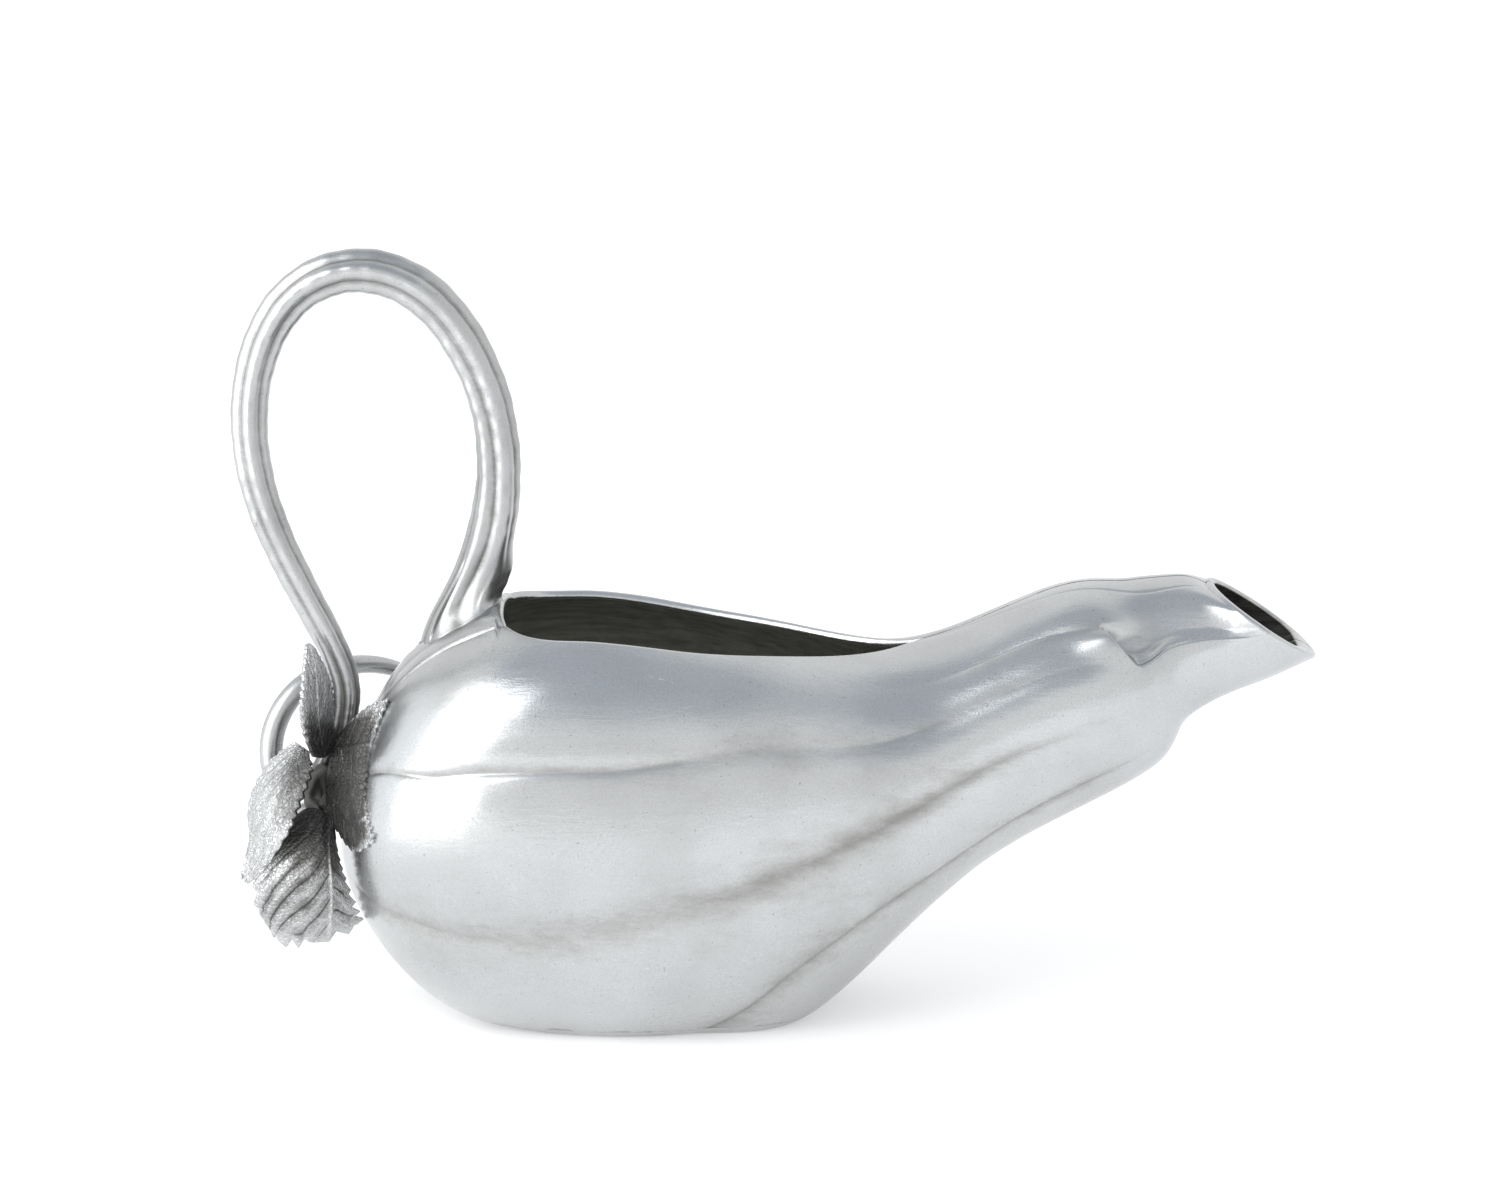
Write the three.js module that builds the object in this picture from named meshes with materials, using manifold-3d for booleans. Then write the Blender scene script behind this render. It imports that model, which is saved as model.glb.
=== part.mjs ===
// Gourd-shaped pewter sauce boat: a hollow crook-necked gourd lying on a flat foot, open along its back,
// with its neck cut off slantwise as a pouring spout, and a vine with leaves and a tendril as the handle.
// Millimetres. +X runs from the leafy end to the spout, +Z is up, and y = 0 is the body's plane of symmetry.
// The origin lies on the flat foot, under the belly.
import * as THREE from "three";
import { mergeVertices } from "three/addons/utils/BufferGeometryUtils.js";
import Module from "manifold-3d";

const wasm = await Module();
wasm.setup();

// ---------------------------------------------------------------- driving dimensions
const WALL = 2.1; // cast wall of the body
const LIP_WALL = 4.6; // wall under the pouring lip, where the casting is left thick
const SEAM = 0.8; // width of the solder line between the two body halves
const FOOT_PLATE = 2.0; // thickness of the flat plate that closes the bottom
const GAP = 0.3; // clearance kept between pieces that rest on each other
const SOLDER_PAD = 1.0; // height of the solder under the handle's root
const LEAF_THICKNESS = 1.5;
const OVERRUN = 5; // how far a cutter runs past the surface that it opens

// The body's stations, from the stalk end to the spout. Each is a slice from a point of the top outline to
// a point of the bottom outline, [x, z] both, with the half width there. The bottom runs below z = 0 under
// the belly, where the flat foot cuts it off.
const STALK_END = [-67.5, 41];
const STATIONS = [
  { top: [-61.5, 65], bottom: [-62.8, 21.5], half: 24 },
  { top: [-50, 82.6], bottom: [-53, 8.5], half: 36.5 },
  { top: [-31, 93.2], bottom: [-37, -1], half: 43 },
  { top: [-9, 95.5], bottom: [-12, -6], half: 45 },
  { top: [13, 91.4], bottom: [13, -6.5], half: 43.5 },
  { top: [36, 86.2], bottom: [36, -1.5], half: 38 },
  { top: [57, 83.2], bottom: [57, 15.5], half: 31.5 },
  { top: [76, 88.8], bottom: [76, 32.5], half: 27.5 },
  { top: [91, 95.2], bottom: [93, 43], half: 25.5 },
  { top: [101, 97.4], bottom: [108, 50.8], half: 23.5 },
  { top: [108.5, 97.7], bottom: [117.5, 57.5], half: 20.5 },
  { top: [113.5, 97.9], bottom: [122, 64.5], half: 17.5 },
  { top: [118.5, 98.3], bottom: [128.5, 70.3], half: 15.3 },
  { top: [122.6, 98.2], bottom: [139.5, 75], half: 15.2 },
  { top: [126.4, 96.8], bottom: [151, 80.4], half: 16.5 },
];
const LAST = STATIONS.length;

// The grooves between the gourd's ribs: where each runs, as [station, degrees from the top], its depth as a
// share of the radius, and its half width in degrees.
const GROOVES = [
  { path: [[0, 6], [3, 9], [7.2, 1], [8.6, 8], [10.2, 14], [11.4, 22], [14, 22]], depth: 0.012, width: 5 },
  { path: [[0, 20], [3, 22], [5, 30], [7, 36], [9, 40], [10.6, 54], [13, 58]], depth: 0.025, width: 8 },
  { path: [[0, 50], [1.1, 55], [2.6, 69], [4, 68], [6, 57], [8.2, 59], [10.6, 72]], depth: 0.035, width: 9 },
  { path: [[0, 127], [2, 118], [4, 111], [6, 91], [8, 90], [10, 98], [12, 100]], depth: 0.035, width: 11 },
  { path: [[0, 160], [3, 158], [5, 142], [6.2, 122], [7.6, 132], [12, 133]], depth: 0.04, width: 10 },
];

// The hollow along each side of the spout, from the pinch to the rim, under which the pouring trough bulges.
const SPOUT_HOLLOW = { start: 10.5, end: 14.8, edge: [74, 90], depth: 0.16, width: 34 };

// The mouth along the back, seen from above: its ends in x, where it is widest, and half its width there,
// and the heights between which it is cut.
const MOUTH = { rear: -30.6, front: 61.7, widest: -8, half: 26.5, cut: [55, 115] };

// The vine handle: the points of its centre line in the plane y = 0, and its radius at even steps along it.
const VINE_PATH = [
  [-42, 84], [-37.8, 94], [-32.8, 110], [-31.5, 127], [-35.5, 144.5], [-46.5, 161], [-62.5, 167],
  [-77, 160.5], [-85, 145], [-86.2, 127], [-82, 109.5], [-74.2, 92.5], [-67.4, 78], [-66.4, 68.5],
  [-68.4, 60], [-71.6, 52],
];
const VINE_RADII = [10.5, 6.4, 5, 4.6, 4.6, 4.7, 4.6, 4.3, 4, 3.8, 3.6, 3.4, 3.2, 3.1, 3, 3];
const VINE_RIBS = 5;
const VINE_FLUTE = 0.09; // depth of the flutes between the stem's ribs, as a share of its radius
const VINE_TWIST = 1.3; // how far the ribs turn along the stem, in radians

// The curled tendril, from the knot round to the far side of the belly.
const TENDRIL_PATH = [
  [-72.5, 0.5, 47], [-78, 3, 45.2], [-82.4, 5, 50], [-83.6, 6, 58], [-81, 7.5, 66], [-74.5, 10.5, 72.4],
  [-65, 15.5, 74.5], [-56.5, 23, 71.8], [-50.5, 31.5, 66], [-46, 38.5, 59],
];
const TENDRIL_RADII = [2.4, 2.6, 2.6, 2.6, 2.5, 2.3, 2.1, 1.9, 1.7, 1.4];

// The lump of solder in the middle of the leaves, which holds them, the stem and the tendril to the body.
const KNOT = { centre: [-71, -5, 50], radii: [4.6, 7.5, 6] };

// The leaves: rows of three points from the leaf's base to its tip, each row from one edge over the midrib
// to the other edge.
const LEAVES = {
  leaf_upright: [
    [[-72.5, -13, 60], [-70.6, -9, 59], [-68.6, -4, 60]],
    [[-74.4, -17, 68], [-71.6, -10, 67], [-69, -2, 68]],
    [[-74.6, -15, 75], [-72, -9, 74.5], [-69.6, -2.5, 74.5]],
    [[-74.5, -10, 80.5], [-73, -7.5, 80.5], [-71.4, -4, 80]],
    [[-74.3, -7.6, 84.2], [-73.7, -7, 84.4], [-73.1, -6.4, 84.2]],
  ],
  leaf_outer: [
    [[-77, -7, 61.5], [-75.3, -10, 61.4], [-73.6, -12.5, 60.3]],
    [[-83, -6, 56.5], [-78.6, -14, 56], [-72.6, -18.5, 57.6]],
    [[-87.5, -6, 47.5], [-82.2, -15, 48], [-75.2, -20.5, 50.4]],
    [[-87.2, -8.5, 40.5], [-83.8, -15.5, 40.7], [-78, -20.5, 43.8]],
    [[-88.9, -13, 33], [-87.6, -14.5, 32], [-85, -16, 32.4]],
  ],
  leaf_side: [
    [[-66.4, -9, 64.5], [-69, -9.5, 56.6], [-70.3, -12, 46.5]],
    [[-63.2, -12.5, 68.5], [-65, -15, 56.6], [-66.8, -16, 43.5]],
    [[-59.4, -14.5, 72], [-62.4, -20.5, 57], [-62.6, -25, 41.5]],
    [[-56, -15.8, 73.8], [-60.6, -23.2, 58.5], [-58.4, -32.4, 46.1]],
  ],
  leaf_lower: [
    [[-75, -11, 47], [-70.6, -12, 46.8], [-68.4, -13, 42.6]],
    [[-81, -14.5, 41.5], [-72, -19, 39], [-66.8, -17.5, 37]],
    [[-85.6, -16.5, 29.8], [-73.5, -20.5, 29.5], [-64.6, -17, 29.6]],
    [[-82.6, -14, 21.4], [-76.5, -17.5, 18.2], [-62.4, -13.5, 21.6]],
  ],
};
const LEAF_TEETH = 7; // along each edge
const TOOTH = 0.09; // how far a tooth stands out, as a share of the leaf's half width

// ---------------------------------------------------------------- curves
// A smooth curve through evenly numbered values: the natural cubic spline, with the value at 0, 1, 2, ...
function spline(values) {
  const n = values.length;
  const bend = new Array(n).fill(0);
  const share = new Array(n).fill(0);
  for (let i = 1; i < n - 1; i++) {
    const push = 6 * (values[i + 1] - 2 * values[i] + values[i - 1]);
    const pivot = 4 - share[i - 1];
    share[i] = 1 / pivot;
    bend[i] = (push - bend[i - 1]) / pivot;
  }
  for (let i = n - 2; i > 0; i--) bend[i] -= share[i] * bend[i + 1];
  return (t) => {
    const i = Math.min(Math.max(Math.floor(t), 0), n - 2);
    const b = t - i;
    const a = 1 - b;
    return a * values[i] + b * values[i + 1] + ((a ** 3 - a) * bend[i] + (b ** 3 - b) * bend[i + 1]) / 6;
  };
}

// The same for points: one spline for each coordinate, read at a share from 0 to 1 along the points.
function splinePoints(points) {
  const curves = points[0].map((_, k) => spline(points.map((p) => p[k])));
  return (share) => curves.map((curve) => curve(share * (points.length - 1)));
}

function smooth(from, to, x) {
  const t = THREE.MathUtils.clamp((x - from) / (to - from), 0, 1);
  return t * t * (3 - 2 * t);
}
const radians = THREE.MathUtils.degToRad;

// ---------------------------------------------------------------- the body's surface
// The outline runs from the lip along the bottom, round the stalk end and along the top, as one smooth curve.
const outline = [...STATIONS.map((s) => s.bottom).reverse(), STALK_END, ...STATIONS.map((s) => s.top)];
const outlineX = spline(outline.map((p) => p[0]));
const outlineZ = spline(outline.map((p) => p[1]));
const halfWidth = spline([...STATIONS.map((s) => -s.half).reverse(), 0, ...STATIONS.map((s) => s.half)]);

// A value that runs smoothly through knots of [station, value], level before the first and after the last.
function throughKnots(knots, station) {
  const k = knots.findIndex(([at]) => station < at);
  if (k === 0) return knots[0][1];
  if (k < 0) return knots[knots.length - 1][1];
  const [[fromAt, from], [toAt, to]] = [knots[k - 1], knots[k]];
  return from + (to - from) * smooth(fromAt, toAt, station);
}

// How far in the grooves pull the surface, as a share of the radius, at an angle in degrees from the top.
function grooves(station, angle) {
  const fade = smooth(0, 1.2, station) * (1 - smooth(LAST - 4, LAST - 2, station));
  let pull = 0;
  for (const { path, depth, width } of GROOVES) {
    const away = Math.abs(angle - throughKnots(path, station)) / width;
    pull += depth * Math.exp(0.25 - Math.hypot(away, 0.25));
  }
  return pull * fade;
}

// The pinch where the thick neck ends and the spout starts: a notch on the sides and a waist underneath.
function pinch(station, angle) {
  const centre = 10.8 + 1.2 * smooth(95, 170, angle);
  const ring = Math.exp(-(((station - centre) / 0.6) ** 2));
  const side = Math.exp(-(((angle - 70) / 20) ** 2));
  const under = smooth(80, 120, angle);
  return ring * (0.12 * side + 0.04 * under);
}

// The hollow on the side of the spout: it deepens towards its lower edge, and ends there in a step.
function hollow(station, angle) {
  const { start, end, edge, depth, width } = SPOUT_HOLLOW;
  const share = THREE.MathUtils.clamp((station - start) / (end - start), 0, 1);
  const above = THREE.MathUtils.lerp(edge[0], edge[1], share) - angle;
  const across = smooth(width, 6, above) * smooth(-5, 5, above);
  return depth * across * smooth(0, 0.12, share) * (1 - smooth(0.3, 1, share));
}

// The belly is squarer than an ellipse: a little round the mouth, and more underneath, for a broad foot.
function squareness(station, angle) {
  const back = smooth(1.5, 3.2, station) * (1 - smooth(5.5, 7.5, station)) * (1 - smooth(60, 90, angle));
  const belly = smooth(1.2, 3.2, station) * (1 - smooth(5.5, 7.5, station)) * smooth(90, 130, angle);
  const power = 2 + 0.5 * back + 0.9 * belly;
  const c = Math.abs(Math.cos(radians(angle)));
  const s = Math.abs(Math.sin(radians(angle)));
  return (c ** power + s ** power) ** (-1 / power);
}

// A point of the body's outside, at a station from 0 to LAST and an angle of 0 to 360 degrees from the top,
// with 90 degrees on the -y side.
function surface(station, turn) {
  const angle = turn > 180 ? 360 - turn : turn;
  const top = [outlineX(LAST + station), outlineZ(LAST + station)];
  const bottom = [outlineX(LAST - station), outlineZ(LAST - station)];
  const pull = grooves(station, angle) + pinch(station, angle) + hollow(station, angle);
  const scale = squareness(station, angle) * (1 - pull);
  const up = Math.cos(radians(angle)) * scale;
  const side = Math.sin(radians(turn)) * scale * halfWidth(LAST + station);
  return new THREE.Vector3(
    (top[0] + bottom[0]) / 2 + ((top[0] - bottom[0]) / 2) * up,
    -side,
    (top[1] + bottom[1]) / 2 + ((top[1] - bottom[1]) / 2) * up,
  );
}

// The outward normal there, by small steps along the surface.
function surfaceNormal(station, turn) {
  const s = Math.min(Math.max(station, 0.02), LAST - 0.02);
  const along = surface(s + 0.01, turn).sub(surface(s - 0.01, turn));
  const round = surface(s, turn + 0.5).sub(surface(s, turn - 0.5));
  return round.cross(along).normalize();
}

// ---------------------------------------------------------------- solids
// Moves every vertex of a three.js geometry, and merges the ones that then meet, so that it is closed.
function warp(geometry, move) {
  const g = geometry.clone();
  g.deleteAttribute("normal");
  g.deleteAttribute("uv");
  g.clearGroups();
  const closed = mergeVertices(g, 1e-5);
  const p = closed.attributes.position;
  const v = new THREE.Vector3();
  for (let i = 0; i < p.count; i++) {
    v.fromBufferAttribute(p, i);
    const moved = move(v);
    p.setXYZ(i, moved.x, moved.y, moved.z);
  }
  return mergeVertices(closed, 1e-4);
}

// A closed geometry as a solid. The warp can turn it inside out, and then its triangles are turned back.
function solid(geometry) {
  const vertProperties = new Float32Array(geometry.attributes.position.array);
  const triVerts = new Uint32Array(geometry.index.array);
  const made = new wasm.Manifold(new wasm.Mesh({ numProp: 3, vertProperties, triVerts }));
  if (made.volume() > 0) return made;
  triVerts.reverse();
  return new wasm.Manifold(new wasm.Mesh({ numProp: 3, vertProperties, triVerts }));
}

// The largest of the separate bodies that a cut leaves.
const biggest = (made) => made.decompose().sort((a, b) => b.volume() - a.volume())[0];

function geometryOf(made) {
  const mesh = made.getMesh();
  const g = new THREE.BufferGeometry();
  g.setAttribute("position", new THREE.BufferAttribute(Float32Array.from(mesh.vertProperties), 3));
  g.setIndex(new THREE.BufferAttribute(Uint32Array.from(mesh.triVerts), 1));
  g.computeVertexNormals();
  return g;
}

// A box from one corner to the other.
function block(low, high) {
  const size = high.map((h, k) => h - low[k]);
  const g = new THREE.BoxGeometry(...size);
  g.translate(...high.map((h, k) => (h + low[k]) / 2));
  return solid(warp(g, (v) => v.clone()));
}

// The body as a closed solid, its surface moved out by offset(station, angle). It is a sphere whose rows
// become the stations, finer towards the stalk end, and whose last row closes the lip flat. With an overrun,
// it goes on straight past the lip by that much.
function bodySolid(rows, columns, offset, overrun = 0) {
  const allRows = rows + (overrun > 0 ? 2 : 1);
  const [lipTop, lipTip] = [surface(LAST, 0), surface(LAST, 180)];
  const lipCentre = lipTop.clone().add(lipTip).multiplyScalar(0.5);
  const outOfLip = new THREE.Vector3(lipTop.z - lipTip.z, 0, lipTip.x - lipTop.x).normalize();
  const sphere = new THREE.SphereGeometry(1, columns, allRows);
  return solid(warp(sphere, (v) => {
    const row = Math.round((Math.acos(THREE.MathUtils.clamp(v.y, -1, 1)) / Math.PI) * allRows);
    if (row === allRows) return lipCentre.clone().addScaledVector(outOfLip, overrun);
    const turn = THREE.MathUtils.radToDeg(Math.atan2(v.z, v.x)) + 180;
    const angle = turn > 180 ? 360 - turn : turn;
    const station = LAST * Math.min(row / rows, 1) ** 1.15;
    const point = surface(station, turn);
    point.addScaledVector(surfaceNormal(station, turn), offset(station, angle));
    return row > rows ? point.addScaledVector(outOfLip, overrun) : point;
  }));
}

// A closed tube along path(share), bent from a cylinder, where section(share, angle) gives the radius.
function tube(path, section, steps, sides) {
  const points = Array.from({ length: steps + 1 }, (_, i) => new THREE.Vector3(...path(i / steps)));
  const along = points.map((_, i) =>
    points[Math.min(i + 1, steps)].clone().sub(points[Math.max(i - 1, 0)]).normalize());
  const across = [new THREE.Vector3(0, 1, 0)];
  for (let i = 0; i <= steps; i++) {
    const previous = across[Math.max(i - 1, 0)];
    across[i] = previous.clone().addScaledVector(along[i], -previous.dot(along[i])).normalize();
  }
  const cylinder = new THREE.CylinderGeometry(1, 1, 1, sides, steps);
  return solid(warp(cylinder, (v) => {
    const i = Math.round((v.y + 0.5) * steps);
    const angle = Math.atan2(v.z, v.x);
    const isMiddle = Math.hypot(v.x, v.z) < 0.5;
    const radius = isMiddle ? 0 : section(i / steps, angle);
    const upward = new THREE.Vector3().crossVectors(along[i], across[i]);
    return points[i].clone()
      .addScaledVector(across[i], radius * Math.cos(angle))
      .addScaledVector(upward, radius * Math.sin(angle));
  }));
}

// The mouth's half width at x: blunt at the stalk end and drawn out to a point towards the spout.
function mouthHalf(x) {
  const behind = THREE.MathUtils.clamp((MOUTH.widest - x) / (MOUTH.widest - MOUTH.rear), 0, 1);
  const ahead = THREE.MathUtils.clamp((x - MOUTH.widest) / (MOUTH.front - MOUTH.widest), 0, 1);
  return MOUTH.half * (1 - behind ** 4) ** 0.25 * (1 - ahead ** 2);
}

// The mouth's cutter: its plan drawn as a shape, and extruded upwards through the back.
function mouthCutter() {
  const steps = 22;
  const side = Array.from({ length: steps + 1 }, (_, i) => {
    const share = (1 - Math.cos((Math.PI * i) / steps)) / 2;
    const x = THREE.MathUtils.lerp(MOUTH.rear, MOUTH.front, share);
    return new THREE.Vector2(x, mouthHalf(x));
  });
  const otherSide = side.slice(1, -1).reverse().map((p) => new THREE.Vector2(p.x, -p.y));
  const plan = new THREE.Shape([...side, ...otherSide]);
  const [low, high] = MOUTH.cut;
  const g = new THREE.ExtrudeGeometry(plan, { depth: high - low, bevelEnabled: false, steps: 1 });
  g.translate(0, 0, low);
  return solid(warp(g, (v) => v.clone()));
}

// ---------------------------------------------------------------- the body's pieces
const metal = (name, color, roughness) =>
  new THREE.MeshStandardMaterial({ name, color, roughness, metalness: 1 });
const polished = metal("polished_pewter", 0xc9cdd0, 0.22);
const stem = metal("stem_pewter", 0xb9bcbe, 0.32);
const leafMetal = metal("leaf_pewter", 0xa9aba9, 0.45);
const solder = metal("solder", 0xb4b6b8, 0.4);

const group = new THREE.Group();
function add(name, made, material) {
  const mesh = new THREE.Mesh(geometryOf(made), material);
  mesh.name = name;
  group.add(mesh);
}

// The body moved out by a distance that is the same all over.
const BODY_ROWS = 36;
const BODY_COLUMNS = 44;
const grown = (distance) => bodySolid(BODY_ROWS, BODY_COLUMNS, () => distance);

// The cast wall's inside, thicker under the lip.
function inside() {
  const wall = (station, angle) =>
    THREE.MathUtils.lerp(WALL, LIP_WALL, smooth(LAST - 2.5, LAST, station) * smooth(110, 175, angle));
  return bodySolid(28, 32, (station, angle) => -wall(station, angle), OVERRUN);
}

const FAR = 250; // beyond the object on every side
const outside = grown(0);
const aroundBody = grown(GAP);
const mouth = mouthCutter();
const above = (z) => block([-FAR, -FAR, z], [FAR, FAR, FAR]);
const shell = outside.subtract(inside()).subtract(mouth).intersect(above(FOOT_PLATE));
add("body_half_right", shell.intersect(block([-FAR, -FAR, 0], [FAR, -SEAM / 2, FAR])), polished);
add("body_half_left", shell.intersect(block([-FAR, SEAM / 2, 0], [FAR, FAR, FAR])), polished);
add("foot_plate", outside.intersect(block([-FAR, -FAR, 0], [FAR, FAR, FOOT_PLATE])), polished);

// The solder lines are what is left of the wall in the middle, in three lengths: behind the mouth, along the
// top of the neck, and from the foot to the lip.
const seamRows = shell.intersect(block([-FAR, -SEAM / 2, 0], [FAR, SEAM / 2, FAR])).decompose();
for (const row of seamRows) {
  const { min } = row.boundingBox();
  const isRear = min[0] < STATIONS[1].top[0];
  const isNeck = min[2] > STATIONS[LAST - 3].bottom[1];
  const place = isRear ? "rear" : isNeck ? "neck" : "belly";
  add(`seam_solder_${place}`, row, solder);
}

// ---------------------------------------------------------------- the handle
const vinePath = splinePoints(VINE_PATH.map(([x, z]) => [x, 0, z]));
const vineRadius = spline(VINE_RADII);
function vine(extra) {
  const last = VINE_RADII.length - 1;
  const ribs = (share, angle) => Math.cos(VINE_RIBS * (angle + VINE_TWIST * share)) - 0.4;
  const section = (share, angle) =>
    vineRadius(share * last) * (1 + VINE_FLUTE * ribs(share, angle)) + extra;
  return tube(vinePath, section, 54, VINE_RIBS * 3);
}
const overSolder = GAP + SOLDER_PAD;
add("handle_vine", biggest(vine(0).subtract(grown(overSolder + GAP))), stem);

// The solder under the handle's root is a rim a little wider than the root, between it and the body.
const SOLDER_RIM = 0.8;
const rootRegion = block([-62, -20, 60], [-24, 20, 104]);
const rootPad = vine(SOLDER_RIM).intersect(rootRegion).intersect(grown(overSolder));
add("handle_root_solder", biggest(rootPad.subtract(aroundBody).subtract(mouth)), solder);

// ---------------------------------------------------------------- the tendril and the knot
function tendril(extra) {
  const radius = spline(TENDRIL_RADII);
  const section = (share) => radius(share * (TENDRIL_RADII.length - 1)) + extra;
  return tube(splinePoints(TENDRIL_PATH), section, 40, 9);
}

function knot(extra) {
  const scale = new THREE.Vector3(...KNOT.radii).addScalar(extra);
  const centre = new THREE.Vector3(...KNOT.centre);
  return solid(warp(new THREE.SphereGeometry(1, 14, 10), (v) => v.clone().multiply(scale).add(centre)));
}

const aroundVine = vine(GAP);
const aroundTendril = tendril(GAP);
add("tendril", biggest(tendril(0).subtract(aroundBody).subtract(aroundVine)), stem);
add("leaf_knot", biggest(knot(0).subtract(aroundBody).subtract(aroundVine).subtract(aroundTendril)), solder);

// ---------------------------------------------------------------- the leaves
// A leaf is a thin box bent onto the smooth sheet through its points, with teeth on both edges. The extra
// goes on all round it.
function leaf(rows, extra) {
  const cellsAcross = 4;
  const cellsAlong = LEAF_TEETH * 2;
  const rowCurves = rows.map(splinePoints);
  const point = (u, v) => new THREE.Vector3(...splinePoints(rowCurves.map((curve) => curve(v)))(u));
  const middle = point(0.5, 0.5);
  const halfWidthOf = point(0.5, 0).distanceTo(middle);
  const box = new THREE.BoxGeometry(1, 1, 1, cellsAcross, cellsAlong, 1);
  return solid(warp(box, (corner) => {
    const u = corner.y + 0.5;
    const isEdge = Math.abs(corner.x) > 0.49;
    const isTooth = Math.round(u * cellsAlong) % 2 === 1;
    const widen = (isEdge && isTooth ? 1 + TOOTH : 1) + extra / halfWidthOf;
    const v = corner.x * widen + 0.5;
    const alongLeaf = point(u + 0.01, v).sub(point(u - 0.01, v));
    const acrossLeaf = point(u, v + 0.01).sub(point(u, v - 0.01));
    const normal = alongLeaf.cross(acrossLeaf).normalize();
    return point(u, v).addScaledVector(normal, corner.z * (LEAF_THICKNESS + 2 * extra));
  }));
}

let taken = aroundBody.add(aroundVine).add(aroundTendril).add(knot(GAP));
for (const [name, rows] of Object.entries(LEAVES)) {
  add(name, biggest(leaf(rows, 0).subtract(taken)), leafMetal);
  taken = taken.add(leaf(rows, GAP));
}

export default group;
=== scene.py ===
"""A gourd-shaped pewter sauce boat: the looks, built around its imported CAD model.

Sizes and places below are in millimetres, in the CAD model's frame, and become metres when a mesh is made.
"""
import math

import bmesh
import bpy
import numpy as np
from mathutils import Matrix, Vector


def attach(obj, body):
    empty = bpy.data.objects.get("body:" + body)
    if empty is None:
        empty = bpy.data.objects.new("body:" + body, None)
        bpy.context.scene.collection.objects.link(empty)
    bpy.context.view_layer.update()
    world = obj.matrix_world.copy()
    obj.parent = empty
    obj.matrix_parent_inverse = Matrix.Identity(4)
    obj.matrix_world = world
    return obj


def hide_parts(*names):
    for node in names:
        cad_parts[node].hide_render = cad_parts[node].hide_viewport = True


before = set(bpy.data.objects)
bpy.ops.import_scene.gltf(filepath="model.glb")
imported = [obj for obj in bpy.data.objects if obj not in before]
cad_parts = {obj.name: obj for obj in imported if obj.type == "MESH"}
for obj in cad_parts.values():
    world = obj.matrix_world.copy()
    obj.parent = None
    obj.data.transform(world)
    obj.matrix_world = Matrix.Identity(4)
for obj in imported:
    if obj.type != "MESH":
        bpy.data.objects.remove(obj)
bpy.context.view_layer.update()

MM = 0.001
WELD = 1e-6  # metres

# ---------------------------------------------------------------- sizes shared with the CAD model
STALK_END = (-67.5, 41)  # (x, z) where the top and bottom outlines meet
# (top outline point, bottom outline point, half width) from the stalk end to the spout
STATIONS = (
    ((-61.5, 65), (-62.8, 21.5), 24),
    ((-50, 82.6), (-53, 8.5), 36.5),
    ((-31, 93.2), (-37, -1), 43),
    ((-9, 95.5), (-12, -6), 45),
    ((13, 91.4), (13, -6.5), 43.5),
    ((36, 86.2), (36, -1.5), 38),
    ((57, 83.2), (57, 15.5), 31.5),
    ((76, 88.8), (76, 32.5), 27.5),
    ((91, 95.2), (93, 43), 25.5),
    ((101, 97.4), (108, 50.8), 23.5),
    ((108.5, 97.7), (117.5, 57.5), 20.5),
    ((113.5, 97.9), (122, 64.5), 17.5),
    ((118.5, 98.3), (128.5, 70.3), 15.3),
    ((122.6, 98.2), (139.5, 75), 15.2),
    ((126.4, 96.8), (151, 80.4), 16.5),
)
LAST = len(STATIONS)
WALL, LIP_WALL = 2.1, 5.6  # thickness all over, and at the lower lip of the spout
SEAM = 0.8  # gap between the halves, filled with solder
FOOT_PLATE = 2.0
MOUTH_REAR, MOUTH_FRONT, MOUTH_WIDEST, MOUTH_HALF = -30.6, 61.7, -8, 26.5
VINE_PATH = (
    (-42, 84), (-37.8, 94), (-32.8, 110), (-31.5, 127), (-35.5, 144.5), (-46.5, 161), (-62.5, 167),
    (-77, 160.5), (-85, 145), (-86.2, 127), (-82, 109.5), (-74.2, 92.5), (-67.4, 78), (-66.4, 68.5),
    (-68.4, 60), (-71.6, 52),
)
VINE_RADII = (10.5, 6.4, 5, 4.6, 4.6, 4.7, 4.6, 4.3, 4, 3.8, 3.6, 3.4, 3.2, 3.1, 3, 3)
TENDRIL_PATH = (
    (-72.5, 0.5, 47), (-78, 3, 45.2), (-82.4, 5, 50), (-83.6, 6, 58), (-81, 7.5, 66), (-74.5, 10.5, 72.4),
    (-65, 15.5, 74.5), (-56.5, 23, 71.8), (-50.5, 31.5, 66), (-46, 38.5, 59),
)
TENDRIL_RADII = (2.4, 2.6, 2.6, 2.6, 2.5, 2.3, 2.1, 1.9, 1.7, 1.4)
KNOT_CENTRE, KNOT_RADII, KNOT_GRIME_AND_SHADE = (-71, -5, 50), (4.6, 7.5, 6), 0.95
LEAF_THICKNESS = 1.5
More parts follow.
